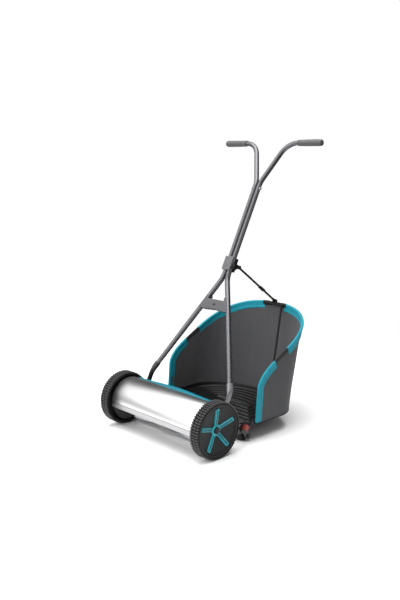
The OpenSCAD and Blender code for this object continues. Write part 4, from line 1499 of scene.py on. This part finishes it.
    def grips(self) -> None:
        """Rubber grips: a collar, a swelling body with shallow rings, and a domed end."""
        x0, x1 = self.grip_in, self.grip_out
        profile = [(self.upper_radius - 0.6, x0 + 1), (self.upper_radius + 1.4, x0),
                   (self.upper_radius + 2.4, x0 + 0.8), (self.upper_radius + 2.4, x0 + 4.2),
                   (self.upper_radius + 1.2, x0 + 5.2)]
        count = self.grip_rings
        first, run = x0 + 7, x1 - x0 - 16
        for k in range(count):
            u0 = first + run * k / count
            u1 = first + run * (k + 1) / count
            swell = 12.3 + 0.9 * math.sin(math.pi / 2 * (k + 1) / count)
            profile += [(swell - 0.5, u0), (swell, u0 + 1.2), (swell, u1 - 1.2), (swell - 0.5, u1)]
        profile += [(12.6, x1 - 7), (12.4, x1 - 4.4), (10.8, x1 - 1.6), (7.6, x1 - 0.3),
                    (4.0, x1), (0.0, x1)]
        BENCH.lathe("grip_sleeve_left", profile, (0, self.length), 40)
        BENCH.cap()
        BENCH.smooth(30)
        left = BENCH.work
        right = BENCH.mirror("grip_sleeve_right", left)
        for side, piece in ((Side.LEFT, left), (Side.RIGHT, right)):
            self.settle(piece, Finishes.grip, Slot.GRIP, f"grip_{side.tag}")

    def clamp(self) -> None:
        """Fine ribs across the front of the clamp."""
        bars = []
        for k in range(self.rib_count):
            s = self.clamp_s + 5.5 + self.rib_run * k / (self.rib_count - 1)
            BENCH.box(f"clamp_rib_{k}", (-self.clamp_half + 2.4, -self.clamp_depth - 1.1, s - 1.3),
                      (self.clamp_half - 2.4, -self.clamp_depth + 0.6, s + 1.3))
            bars.append(BENCH.done())
        BENCH.join("clamp_ribs", bars)
        BENCH.bevel(0.6, 2, 30)
        BENCH.smooth(30)
        self.settle(BENCH.work, Finishes.clamp, Slot.GREY_PLASTIC)


@dataclass(frozen=True)
class Catcher:
    """The grass catcher: fabric wall, taped edges, frame rod and stay."""

    axle_y: float = -257.5
    half: float = 250.0
    front: float = 229.0
    side: float = 171.0
    foot_side: float = 147.0
    back_low: float = 160.0
    foot_power: float = 1.0
    back_high: float = 217.0
    rim_power: float = 2 / 2.4
    slope: float = 0.53
    low_z: float = 66.0
    edge_top: tuple[float, float] = (239.0, 196.0)
    edge_pull: tuple[float, float] = (243.0, 243.0)
    rim_start: tuple[float, float] = (328.0, 287.0)
    wall: float = 3.0
    cloth: float = 1.2
    rows: int = 26
    edge_steps: int = 12
    side_steps: int = 8
    back_steps: int = 96
    folds: tuple[tuple[float, float, float, float], ...] = (
        (0.011, 0.7, 3.1, 2.6), (0.035, 1.6, 8.4, 1.3), (0.004, 2.4, 5.7, 2.0))
    rod: float = 4.0
    rod_foot: float = 6.0
    clip_half: float = 48.0
    hook_gap: float = 13.0
    stay_radius: float = 4.2
    stay_sag: float = 2.5
    stay_steps: int = 24
    pan_half: float = 244.0
    pan_depth: float = 154.0
    pan_front: float = 194.0
    pan_floor: float = 62.0
    pan_rim: float = 19.4
    pan_thick: float = 3.0
    pan_rings: int = 5

    @property
    def straight(self) -> float:
        """Where the sides end and the curved back starts."""
        return self.front + self.side

    @property
    def foot_end(self) -> float:
        """Where the foot's sides end and its curved back starts."""
        return self.front + self.foot_side

    def rim_height(self, y: float) -> float:
        """Height of the rim at y."""
        return self.rim_start[1] + (y - self.rim_start[0]) * self.slope

    def foot_y(self, y: float) -> float:
        """Where the wall's foot is, under a point of the side's top edge."""
        side = self.straight - self.edge_top[0]
        return self.front + (y - self.edge_top[0]) * self.foot_side / side

    @staticmethod
    def back(half: float, start: float, depth: float, power: float,
             angle: float) -> tuple[float, float]:
        """Point of a curved back.

        Args:
            half: Half of its width.
            start: Where it starts.
            depth: How far it goes back.
            power: Power of its sine and cosine.
            angle: 0 at its left end and 180 at its right end.

        Returns:
            x and y.
        """
        c, s = math.cos(math.radians(angle)), math.sin(math.radians(angle))
        return half * math.copysign(abs(c) ** power, c), start + depth * abs(s) ** power

    def columns(self) -> list[tuple[Vector, Vector]]:
        """The wall's columns from the left front edge round to the right one.

        Returns:
            The top and the foot of each column, in the row frame.
        """
        tops = []
        for k in range(self.edge_steps + 1):
            u = k / self.edge_steps
            y, z = ((1 - u) ** 2 * a + 2 * u * (1 - u) * p + u * u * b for a, p, b in zip(
                self.edge_top, self.edge_pull, self.rim_start))
            tops.append((self.half, y, z))
        for k in range(1, self.side_steps + 1):
            y = self.rim_start[0] + (self.straight - self.rim_start[0]) * k / self.side_steps
            tops.append((self.half, y, self.rim_height(y)))
        feet = [(self.half, self.foot_y(y), self.low_z) for _, y, _ in tops]
        side = len(tops)
        for k in range(1, self.back_steps):
            angle = 180 * k / self.back_steps
            x, y = self.back(self.half, self.straight, self.back_high, self.rim_power, angle)
            tops.append((x, y, self.rim_height(y)))
            x, y = self.back(self.half, self.foot_end, self.back_low, self.foot_power, angle)
            feet.append((x, y, self.low_z))
        for k in range(side - 1, -1, -1):
            tops.append((-tops[k][0], tops[k][1], tops[k][2]))
            feet.append((-feet[k][0], feet[k][1], feet[k][2]))
        move = Vector((0, self.axle_y, 0))
        return [(Vector(t) + move, Vector(f) + move) for t, f in zip(tops, feet)]

    @staticmethod
    def along(line: Sequence[Vector], i: int) -> Vector:
        """Direction of a line of points at its point i."""
        return (line[min(i + 1, len(line) - 1)] - line[max(i - 1, 0)]).normalized()

    def outward(self, columns: Sequence[tuple[Vector, Vector]]) -> list[Vector]:
        """Outward direction of the wall at each column."""
        tops = [t for t, _ in columns]
        return [(low - top).cross(self.along(tops, i)).normalized()
                for i, (top, low) in enumerate(columns)]

    def seam(self, columns: Sequence[tuple[Vector, Vector]],
             out: Sequence[Vector]) -> list[Vector]:
        """The wall's upper edge, in the middle of its thickness."""
        return [top - way * (self.wall / 2) for (top, _), way in zip(columns, out)]

    def build(self) -> None:
        """Builds the soft wall, its tapes, the rod, the piping, the pan and the stay."""
        columns = self.columns()
        out = self.outward(columns)
        rod = self.frame_rod(columns, out)
        tapes = self.tapes(columns, out)
        piping = self.piping(columns, out)
        pan = self.pan()
        self.fabric(columns, out, rod, pan, tapes + [piping])
        self.stay()

    def fabric(self, columns: Sequence[tuple[Vector, Vector]], out: Sequence[Vector],
               rod: bpy.types.Object, pan: bpy.types.Object,
               extras: list[bpy.types.Object]) -> None:
        """The woven wall, with soft upright folds.

        Args:
            columns: The wall's columns.
            out: The outward direction of each.
            rod: The rod that holds its upper edge; not used.
            pan: The pan that its foot is fixed round; not used.
            extras: The tapes and piping sewn to it; not used.
        """
        points, uv_of = [], []
        run = 0.0
        for i, ((top, low), way) in enumerate(zip(columns, out)):
            if i:
                last = columns[i - 1]
                run += ((top + low) / 2 - (last[0] + last[1]) / 2).length
            height = (top - low).length
            for k in range(self.rows + 1):
                v = k / self.rows
                hang = math.sin(math.pi * v) ** 0.8
                fold = sum(noise.noise(Vector((run * long, v * tall, start))) * size
                           for long, tall, start, size in self.folds)
                push = -self.wall / 2 - 1.2 * hang + fold * hang
                points.append(low.lerp(top, v) + way * push)
                uv_of.append((run * MM, v * height * MM))
        faces, uv = [], []
        n = self.rows + 1
        for i in range(len(columns) - 1):
            for k in range(self.rows):
                face = (i * n + k, i * n + k + 1, (i + 1) * n + k + 1, (i + 1) * n + k)
                faces.append(face)
                uv += [uv_of[c] for c in face]
        piece = BENCH.shell("catcher_cloth", points, faces, uv)
        rim = sum((b[0] - a[0]).length for a, b in zip(columns, columns[1:])) * MM
        tall = max((t - f).length for t, f in columns) * MM
        BENCH.modify("SOLIDIFY", thickness=self.cloth * MM, offset=0.0)
        BENCH.smooth(60)
        finish_piece(piece, Finishes.fabric, Body.CATCHER, Slot.FABRIC, "catcher_fabric")

    def band(self, name: str, line: Sequence[Vector], out: Sequence[Vector],
             section: Sequence[tuple[float, float]]) -> bpy.types.Object:
        """Sweeps a closed section along a line.

        Args:
            name: The piece's name.
            line: The line's points.
            out: The section's first axis at each point.
            section: Points (outwards, down).

        Returns:
            The band, with a UV map in metres along it and across it.
        """
        count = len(section)
        points, faces, uv = [], [], []
        runs = [0.0]
        for a, b in zip(line, line[1:]):
            runs.append(runs[-1] + (b - a).length)
        for i, spot in enumerate(line):
            side = out[i]
            down = self.along(line, i).cross(side).normalized()
            points += [spot + side * o + down * d for o, d in section]
        for i in range(len(line) - 1):
            for k in range(count):
                j = (k + 1) % count
                corners = ((i, k), (i, j), (i + 1, j), (i + 1, k))
                faces.append(tuple(at * count + edge for at, edge in corners))
                uv += [self.tape_uv(runs[at], section[edge]) for at, edge in corners]
        for end in (0, len(line) - 1):
            faces.append(tuple(range(end * count, (end + 1) * count)))
            uv += [self.tape_uv(runs[end], spot) for spot in section]
        BENCH.shell(name, points, faces, uv)
        BENCH.edit()
        bpy.ops.mesh.normals_make_consistent(inside=False)
        return BENCH.done()

    @staticmethod
    def tape_uv(run: float, spot: tuple[float, float]) -> tuple[float, float]:
        """UV of a tape: metres along it, and metres down from the edge that it folds over."""
        return run * MM, spot[1] * MM

    def tapes(self, columns: Sequence[tuple[Vector, Vector]],
              out: Sequence[Vector]) -> list[bpy.types.Object]:
        """The teal tapes up the front edges and along the rim, and the black hems between them.

        Args:
            columns: The wall's columns.
            out: The outward direction of each.

        Returns:
            The tapes and hems.
        """
        r = self.rod + 1.5
        section = []
        for k in range(13):
            a = math.pi * k / 12
            section.append((r * math.cos(a), -r * math.sin(a)))
        flaps = [(3.7, 5.0), (2.7, 9.0), (2.4, 13.0), (1.9, 15.0), (2.5, 17.0), (2.4, 21.0),
                 (1.9, 23.6), (2.1, 24.6), (1.7, 26.6), (0.9, 27.2)]
        section += [(-o, d) for o, d in flaps]
        section += [(o, d) for o, d in reversed(flaps)]
        made = []
        tops = self.seam(columns, out)
        foot = columns[0][1] + Vector((-self.wall / 2, 0, self.rod_foot))
        upright = [foot.lerp(tops[0], k / 10) for k in range(10)]
        corner = self.edge_steps + 1
        front = upright + tops[:corner]
        left = self.band("front_tape_left", front, [Vector((1, 0, 0))] * len(front), section)
        straight = self.edge_steps + self.side_steps
        stop = next(i for i, (t, _) in enumerate(columns) if t.x < self.clip_half)
        rim = tops[straight:stop]
        rim_left = self.band("rim_tape_left", rim, out[straight:stop], section)
        r = self.rod + 0.9
        hem = [(r * math.cos(math.pi * k / 8), -r * math.sin(math.pi * k / 8)) for k in range(9)]
        hem += [(-2.6, 4.6), (-1.9, 9.0), (-1.2, 11.0), (1.2, 11.0), (1.9, 9.0), (2.6, 4.6)]
        bare = slice(corner - 2, straight + 2)
        gap = self.band("rod_hem_left", tops[bare], out[bare], hem)
        BENCH.smooth(50)
        back = stop - 1
        middle = next(i for i, t in enumerate(tops) if t.x < self.hook_gap)
        rear = self.band("rear_hem_left", tops[back:middle], out[back:middle], hem)
        BENCH.smooth(50)
        thick = [(1.45 * o, 1.25 * d) for o, d in hem]
        block = self.band("clip_block_left", tops[back - 1:back + 3], out[back - 1:back + 3], thick)
        BENCH.bevel(0.8, 2, 60)
        BENCH.smooth(50)
        for kind, piece in (("rod_hem", gap), ("rear_hem", rear), ("clip_block", block)):
            for part in (piece, BENCH.mirror(f"{kind}_right", piece)):
                finish_piece(part, Finishes.hem, Body.CATCHER, Slot.FABRIC)
                made.append(part)
        for kind, piece in (("front", left), ("rim", rim_left)):
            BENCH.take(piece.name, piece)
            BENCH.smooth(50)
            right = BENCH.mirror(f"{kind}_tape_right", piece)
            for part in (piece, right):
                finish_piece(part, Finishes.tape, Body.CATCHER, Slot.TEAL_FABRIC,
                             f"{kind}_bindings")
                made.append(part)
        return made

    def frame_rod(self, columns: Sequence[tuple[Vector, Vector]],
                  out: Sequence[Vector]) -> bpy.types.Object:
        """The steel rod in the catcher's front and upper edges.

        Args:
            columns: The wall's columns.
            out: The outward direction of each.

        Returns:
            The rod.
        """
        first = columns[0][1] + Vector((-self.wall / 2, 0, self.rod_foot))
        last = columns[-1][1] + Vector((self.wall / 2, 0, self.rod_foot))
        line = [first] + self.seam(columns, out) + [last]
        sides = [Vector((1, 0, 0))] + list(out) + [Vector((-1, 0, 0))]
        turns = [2 * math.pi * k / 14 for k in range(14)]
        ring = [(self.rod * math.cos(a), self.rod * math.sin(a)) for a in turns]
        rod = self.band("edge_rod", line, sides, ring)
        BENCH.smooth(60)
        finish_piece(rod, Finishes.rod, Body.CATCHER, Slot.ROD, "frame_rod")
        return rod

    def piping(self, columns: Sequence[tuple[Vector, Vector]],
               out: Sequence[Vector]) -> bpy.types.Object:
        """The black piping along the wall's foot.

        Args:
            columns: The wall's columns.
            out: The outward direction of each.

        Returns:
            The piping.
        """
        line = [foot - way * self.wall / 2 for (_, foot), way in zip(columns, out)]
        flat = [Vector((way.x, way.y, 0)).normalized() for way in out]
        turns = [2 * math.pi * k / 10 for k in range(10)]
        section = [(2.1 * math.cos(a), 1.0 + 2.6 * math.sin(a)) for a in turns]
        piece = self.band("foot_piping", line, flat, section)
        BENCH.smooth(60)
        return finish_piece(piece, Finishes.black, Body.CATCHER, Slot.BLACK_PLASTIC)

    def pan(self) -> bpy.types.Object:
        """The moulded floor: a ribbed tray behind the CAD node's own lip and hooks.

        Returns:
            The pan.
        """
        half, front, floor, edge = self.pan_half, self.pan_front, self.pan_floor, 14
        outline = [(half, front), (half, front + edge), (half, front + 70)]
        angles = [180 * k / 64 for k in range(65)]
        outline += [self.back(half, self.foot_end, self.pan_depth, self.foot_power, angle)
                    for angle in angles]
        outline += [(-x, y) for x, y in reversed(outline[:3])]
        BENCH.point("pan_tray", (half, front + self.axle_y, floor))
        for (x0, y0), (x1, y1) in zip(outline, outline[1:]):
            BENCH.extrude((x1 - x0, y1 - y0, 0))
        bpy.ops.mesh.select_all(action="SELECT")
        bpy.ops.mesh.edge_face_add()
        bpy.ops.mesh.normals_make_consistent(inside=False)
        BENCH.extrude((0, 0, self.pan_rim))
        BENCH.select(Pick.FACE, lambda p, n: p.z > floor + self.pan_rim - 0.5)
        rear = self.foot_end + self.pan_depth
        wide, deep, middle = half, (rear - front) / 2, (front + rear) / 2 + self.axle_y
        wall = [(0.7, 0.6), (1.8, 0.0), (0.6, -0.7), (0.5, -9.6), (2.2, -4.6), (4.6, -2.7)]
        ring = [(16.0, 0.0), (2.0, 3.2), (1.2, 0.8), (6.0, 0.0), (1.2, -0.8), (2.0, -3.2)]
        for width, rise in wall + ring * self.pan_rings:
            BENCH.extrude((0, 0, rise))
            BENCH.scale((1 - width / wide, 1 - width / deep, 1), (0, middle, floor))
            wide, deep = wide - width, deep - width
        low = floor + self.pan_thick
        BENCH.select(Pick.VERT, lambda p, n: p.y < front + edge - 1 + self.axle_y and p.z > low)
        BENCH.scale((1, 1, 0), (0, 0, low))
        tray = BENCH.done()
        BENCH.copy("pan_hooks", frame["nodes"]["catcher_pan"])
        BENCH.edit()
        BENCH.weld()
        BENCH.select(Pick.VERT, lambda p, n: p.y > front + 1 + self.axle_y)
        bpy.ops.mesh.delete(type="VERT")
        BENCH.cap()
        bpy.ops.mesh.normals_make_consistent(inside=False)
        hooks = BENCH.done()
        BENCH.join("pan_tray", [tray, hooks])
        BENCH.smooth(34)
        return finish_piece(BENCH.work, Finishes.pan, Body.CATCHER, Slot.BLACK_PLASTIC,
                            "catcher_pan")

    def stay(self) -> None:
        """The cord from the clip down to the top of the near front tape."""
        rear = self.straight + self.back_high
        high = Vector((self.clip_half - 4, rear - 14 + self.axle_y, self.rim_height(rear) - 4))
        low = Vector((self.half - self.wall - 1, self.rim_start[0] - 4 + self.axle_y,
                      self.rim_start[1] - 2))
        line = []
        for k in range(self.stay_steps + 1):
            u = k / self.stay_steps
            sag = self.stay_sag * math.sin(math.pi * u)
            line.append(high.lerp(low, u) - Vector((0, 0, sag)))
        piece = braided("stay_line", line, self.stay_radius)
        finish_piece(piece, Finishes.cord, Body.CATCHER, Slot.CORD, "stay_cord")


def braided(name: str, line: Sequence[Vector], radius: float) -> bpy.types.Object:
    """Makes a round cord along a line, with its UV in metres along it and turns round it.

    Args:
        name: The piece's name.
        line: The line's points in millimetres.
        radius: The cord's radius in millimetres.

    Returns:
        The cord.
    """
    count = 12
    points, faces, uv = [], [], []
    run = 0.0
    runs = []
    across = Vector((1, 0, 0))
    for i, spot in enumerate(line):
        if i:
            run += (spot - line[i - 1]).length
        runs.append(run)
        way = Catcher.along(line, i)
        side = (across - way * across.dot(way)).normalized()
        other = way.cross(side)
        for k in range(count):
            a = 2 * math.pi * k / count
            points.append(spot + (side * math.cos(a) + other * math.sin(a)) * radius)
    for i in range(len(line) - 1):
        for k in range(count):
            j = (k + 1) % count
            corners = ((i, k), (i, j), (i + 1, j), (i + 1, k))
            faces.append(tuple(at * count + edge for at, edge in corners))
            turns = (k, k + 1, k + 1, k)
            uv += [(runs[at] * MM, turn / count) for (at, _), turn in zip(corners, turns)]
    for end in (0, len(line) - 1):
        faces.append(tuple(range(end * count, (end + 1) * count)))
        uv += [(runs[end] * MM, k / count) for k in range(count)]
    BENCH.shell(name, points, faces, uv)
    BENCH.edit()
    bpy.ops.mesh.normals_make_consistent(inside=False)
    BENCH.smooth(50)
    return BENCH.work


@dataclass(frozen=True)
class Sling:
    """The cord that hangs the catcher from the handle."""

    top: tuple[float, float] = (128.7, 616.1)
    pin: tuple[float, float] = (351.5, 451.7)
    radius: float = 4.2
    eye: float = 6.5
    eye_cord: float = 1.9
    hook: float = 8.5

    def build(self) -> None:
        """The cord between the handle's pin and the catcher's hook, with its sewn eye."""
        a = Vector((0, *self.top))
        b = Vector((0, *self.pin))
        way = (b - a).normalized()
        start, end = a + way * (self.eye - 1.0), b - way * self.hook
        line = [start.lerp(end, k / 40) for k in range(41)]
        cord = braided("sling_line", line, self.radius)
        loop = []
        for k in range(33):
            angle = 2 * math.pi * k / 32
            side = way * math.cos(angle) + Vector((1, 0, 0)).cross(way) * math.sin(angle)
            loop.append(a + side * (self.eye - 1.6))
        ring = braided("sling_eye", loop, self.eye_cord)
        BENCH.join("sling_line", [cord, ring])
        finish_piece(BENCH.work, Finishes.cord, Body.SLING, Slot.CORD, "sling_cord")


@dataclass(frozen=True)
class Lamp:
    """A round area light: its place and diameter in metres, and its power in watts."""

    name: str
    place: tuple[float, float, float]
    size: float
    power: float


@dataclass(frozen=True)
class Studio:
    """Floor, soft light and camera, in metres."""

    floor_size: float = 60.0
    lamps: tuple[Lamp, ...] = (
        Lamp("key_light", (-2.6, -2.6, 2.6), 3.4, 40.0),
        Lamp("top_light", (0.0, -0.2, 3.6), 4.0, 165.0),
        Lamp("front_light", (-0.6, -3.4, 1.7), 3.0, 40.0),
        Lamp("fill_light", (3.2, 0.6, 1.6), 2.0, 10.0),
    )
    lamp_aim: tuple[float, float, float] = (0.0, 0.05, 0.35)
    sensor: float = 36.0
    lens: float = 45.1
    eye: tuple[float, float, float] = (2.0415, -2.0292, 1.0578)
    gaze: tuple[float, float, float] = (-0.71079, 0.67725, -0.19003)

    def build(self) -> None:
        """Lays the floor, lights the scene and sets the camera."""
        self.floor()
        self.world()
        self.lights()
        self.camera()

    def floor(self) -> None:
        """A wide pale floor."""
        BENCH.clear()
        bpy.ops.mesh.primitive_plane_add(size=self.floor_size)
        floor = BENCH.take("studio_floor_plane")
        floor.data.materials.append(Finishes.floor.material())

    def world(self) -> None:
        """Soft surroundings, bright above and ahead, and plain white where they are seen."""
        world = bpy.data.worlds.new("studio")
        bpy.context.scene.world = world
        world.use_nodes = True
        tree = world.node_tree
        tree.nodes.clear()

        def add(kind: str, **settings: object) -> bpy.types.Node:
            """Adds a node.

            Args:
                kind: The node's type.
                **settings: The node's own settings.

            Returns:
                The node.
            """
            made = tree.nodes.new(kind)
            for key, value in settings.items():
                setattr(made, key, value)
            return made

        spot = add("ShaderNodeTexCoord")

        def fade(way: Point, low: float, high: float, dark: float, light: float) -> bpy.types.Node:
            """Smooth step from dark to light with the cosine of the angle to a direction.

            Args:
                way: The direction.
                low: The cosine where it starts to rise.
                high: The cosine where it has risen.
                dark: The result below low.
                light: The result above high.

            Returns:
                The node with the result.
            """
            near = add("ShaderNodeVectorMath", operation="DOT_PRODUCT")
            tree.links.new(spot.outputs["Generated"], near.inputs[0])
            near.inputs[1].default_value = Vector(way).normalized()
            step = add("ShaderNodeMapRange", interpolation_type="SMOOTHSTEP")
            for key, value in ((1, low), (2, high), (3, dark), (4, light)):
                step.inputs[key].default_value = value
            tree.links.new(near.outputs["Value"], step.inputs[0])
            return step

        total = fade((0, 0, 1), -0.05, 0.75, 0.5, 1.15)
        for step in (
            fade((-0.70, -0.72, 0.0), -0.75, 0.6, 0.12, 1.25),
            fade((-0.71, 0.66, 0.15), 0.70, 0.93, 1.0, 0.04),
        ):
            product = add("ShaderNodeMath", operation="MULTIPLY")
            tree.links.new(total.outputs[0], product.inputs[0])
            tree.links.new(step.outputs[0], product.inputs[1])
            total = product
        studio, plain = add("ShaderNodeBackground"), add("ShaderNodeBackground")
        for light in (studio, plain):
            light.inputs["Color"].default_value = (1, 1, 1, 1)
        tree.links.new(total.outputs[0], studio.inputs["Strength"])
        plain.inputs["Strength"].default_value = 1.0
        seen = add("ShaderNodeLightPath")
        mix = add("ShaderNodeMixShader")
        tree.links.new(seen.outputs["Is Camera Ray"], mix.inputs[0])
        tree.links.new(studio.outputs[0], mix.inputs[1])
        tree.links.new(plain.outputs[0], mix.inputs[2])
        out = add("ShaderNodeOutputWorld")
        tree.links.new(mix.outputs[0], out.inputs[0])

    def lights(self) -> None:
        """A strong top light, a key light and a front light ahead, and a weak fill."""
        for lamp in self.lamps:
            light = bpy.data.lights.new(lamp.name, "AREA")
            light.shape, light.size, light.energy = "DISK", lamp.size, lamp.power
            made = bpy.data.objects.new(lamp.name, light)
            made.location = lamp.place
            aim = Vector(self.lamp_aim) - Vector(lamp.place)
            made.rotation_euler = aim.to_track_quat("-Z", "Y").to_euler()
            bpy.context.scene.collection.objects.link(made)

    def camera(self) -> None:
        """The camera, level with the grips and off the left front corner."""
        optics = bpy.data.cameras.new("camera")
        optics.sensor_width, optics.lens = self.sensor, self.lens
        made = bpy.data.objects.new("camera", optics)
        forward = Vector(self.gaze).normalized()
        right = forward.cross(Vector((0, 0, 1))).normalized()
        up = right.cross(forward)
        turn = Matrix((right, up, -forward)).transposed()
        made.matrix_world = Matrix.Translation(self.eye) @ turn.to_4x4()
        bpy.context.scene.collection.objects.link(made)
        bpy.context.scene.camera = made
        bpy.context.scene.view_settings.view_transform = "Standard"


REFINED = (
    Refined("side_plate_left", Finishes.frame_black, 0.6),
    Refined("side_plate_right", Finishes.frame_black, 0.6),
    Refined("tie_bar", Finishes.teal, 2.0, 3),
    Refined("bed_bar", Finishes.frame_black, 0.4),
    Refined("bed_knife", Finishes.knife, 0.2, 1),
    Refined("knife_screws", Finishes.steel, 0.5),
    Refined("frame_bolts", Finishes.steel, 0.5),
    Refined("stub_axles", Finishes.steel, 0.4),
    Refined("axle_clips", Finishes.steel, 0.2, 1),
    Refined("reel_bearings", Finishes.steel, 0.4),
    Refined("catcher_rail", Finishes.steel, 0.5),
    Refined("handle_pivot_bolts", Finishes.steel, 0.6),
    Refined("reel_shaft", Finishes.knife, 0.3),
    Refined("reel_spiders", Finishes.reel_paint, 0.3, 1),
    Refined("reel_blades", Finishes.knife, 0.3, 1),
    Refined("drive_pawls", Finishes.steel, 0.2, 1),
    Refined("drive_pinion_left", Finishes.gear, 0.2, 1),
    Refined("drive_pinion_right", Finishes.gear, 0.2, 1),
    Refined("wheel_left", Finishes.wheel),
    Refined("wheel_right", Finishes.wheel),
    Refined("roller_bracket_left", Finishes.frame_black, 0.7),
    Refined("roller_bracket_right", Finishes.frame_black, 0.7),
    Refined("roller_shaft", Finishes.black, 0.8),
    Refined("height_screws", Finishes.steel, 0.4),
    Refined("rear_roller", Finishes.black, 0.8),
    Refined("height_knob_left", Finishes.red, 0.8),
    Refined("height_knob_right", Finishes.red, 0.8),
    Refined("spreader_bracket", Finishes.grey, 1.6, 3),
    Refined("spreader_screw", Finishes.black, 0.6),
    Refined("clamp_front", Finishes.clamp, 2.0, 3),
    Refined("clamp_rear", Finishes.black, 1.4, 3),
    Refined("clamp_bolt", Finishes.steel, 0.6),
    Refined("clamp_knob", Finishes.black, 0.8),
    Refined("cross_bolt", Finishes.steel, 0.6),
    Refined("sling_hook", Finishes.black, 0.8),
    Refined("sling_slider", Finishes.black, 2.6, 4),
    Refined("rim_clip", Finishes.black, 1.2, 3),
)


def main() -> None:
    """Builds the mower in order."""
    logging.basicConfig(level=logging.INFO, format="%(name)s: %(message)s")
    Studio().build()
    for refined in REFINED:
        refined.build()
    Guard().build()
    for side in Side:
        Wheel(side).build()
    Handle().build()
    Catcher().build()
    Sling().build()
    BENCH.clear()


if __name__ == "__main__":
    main()
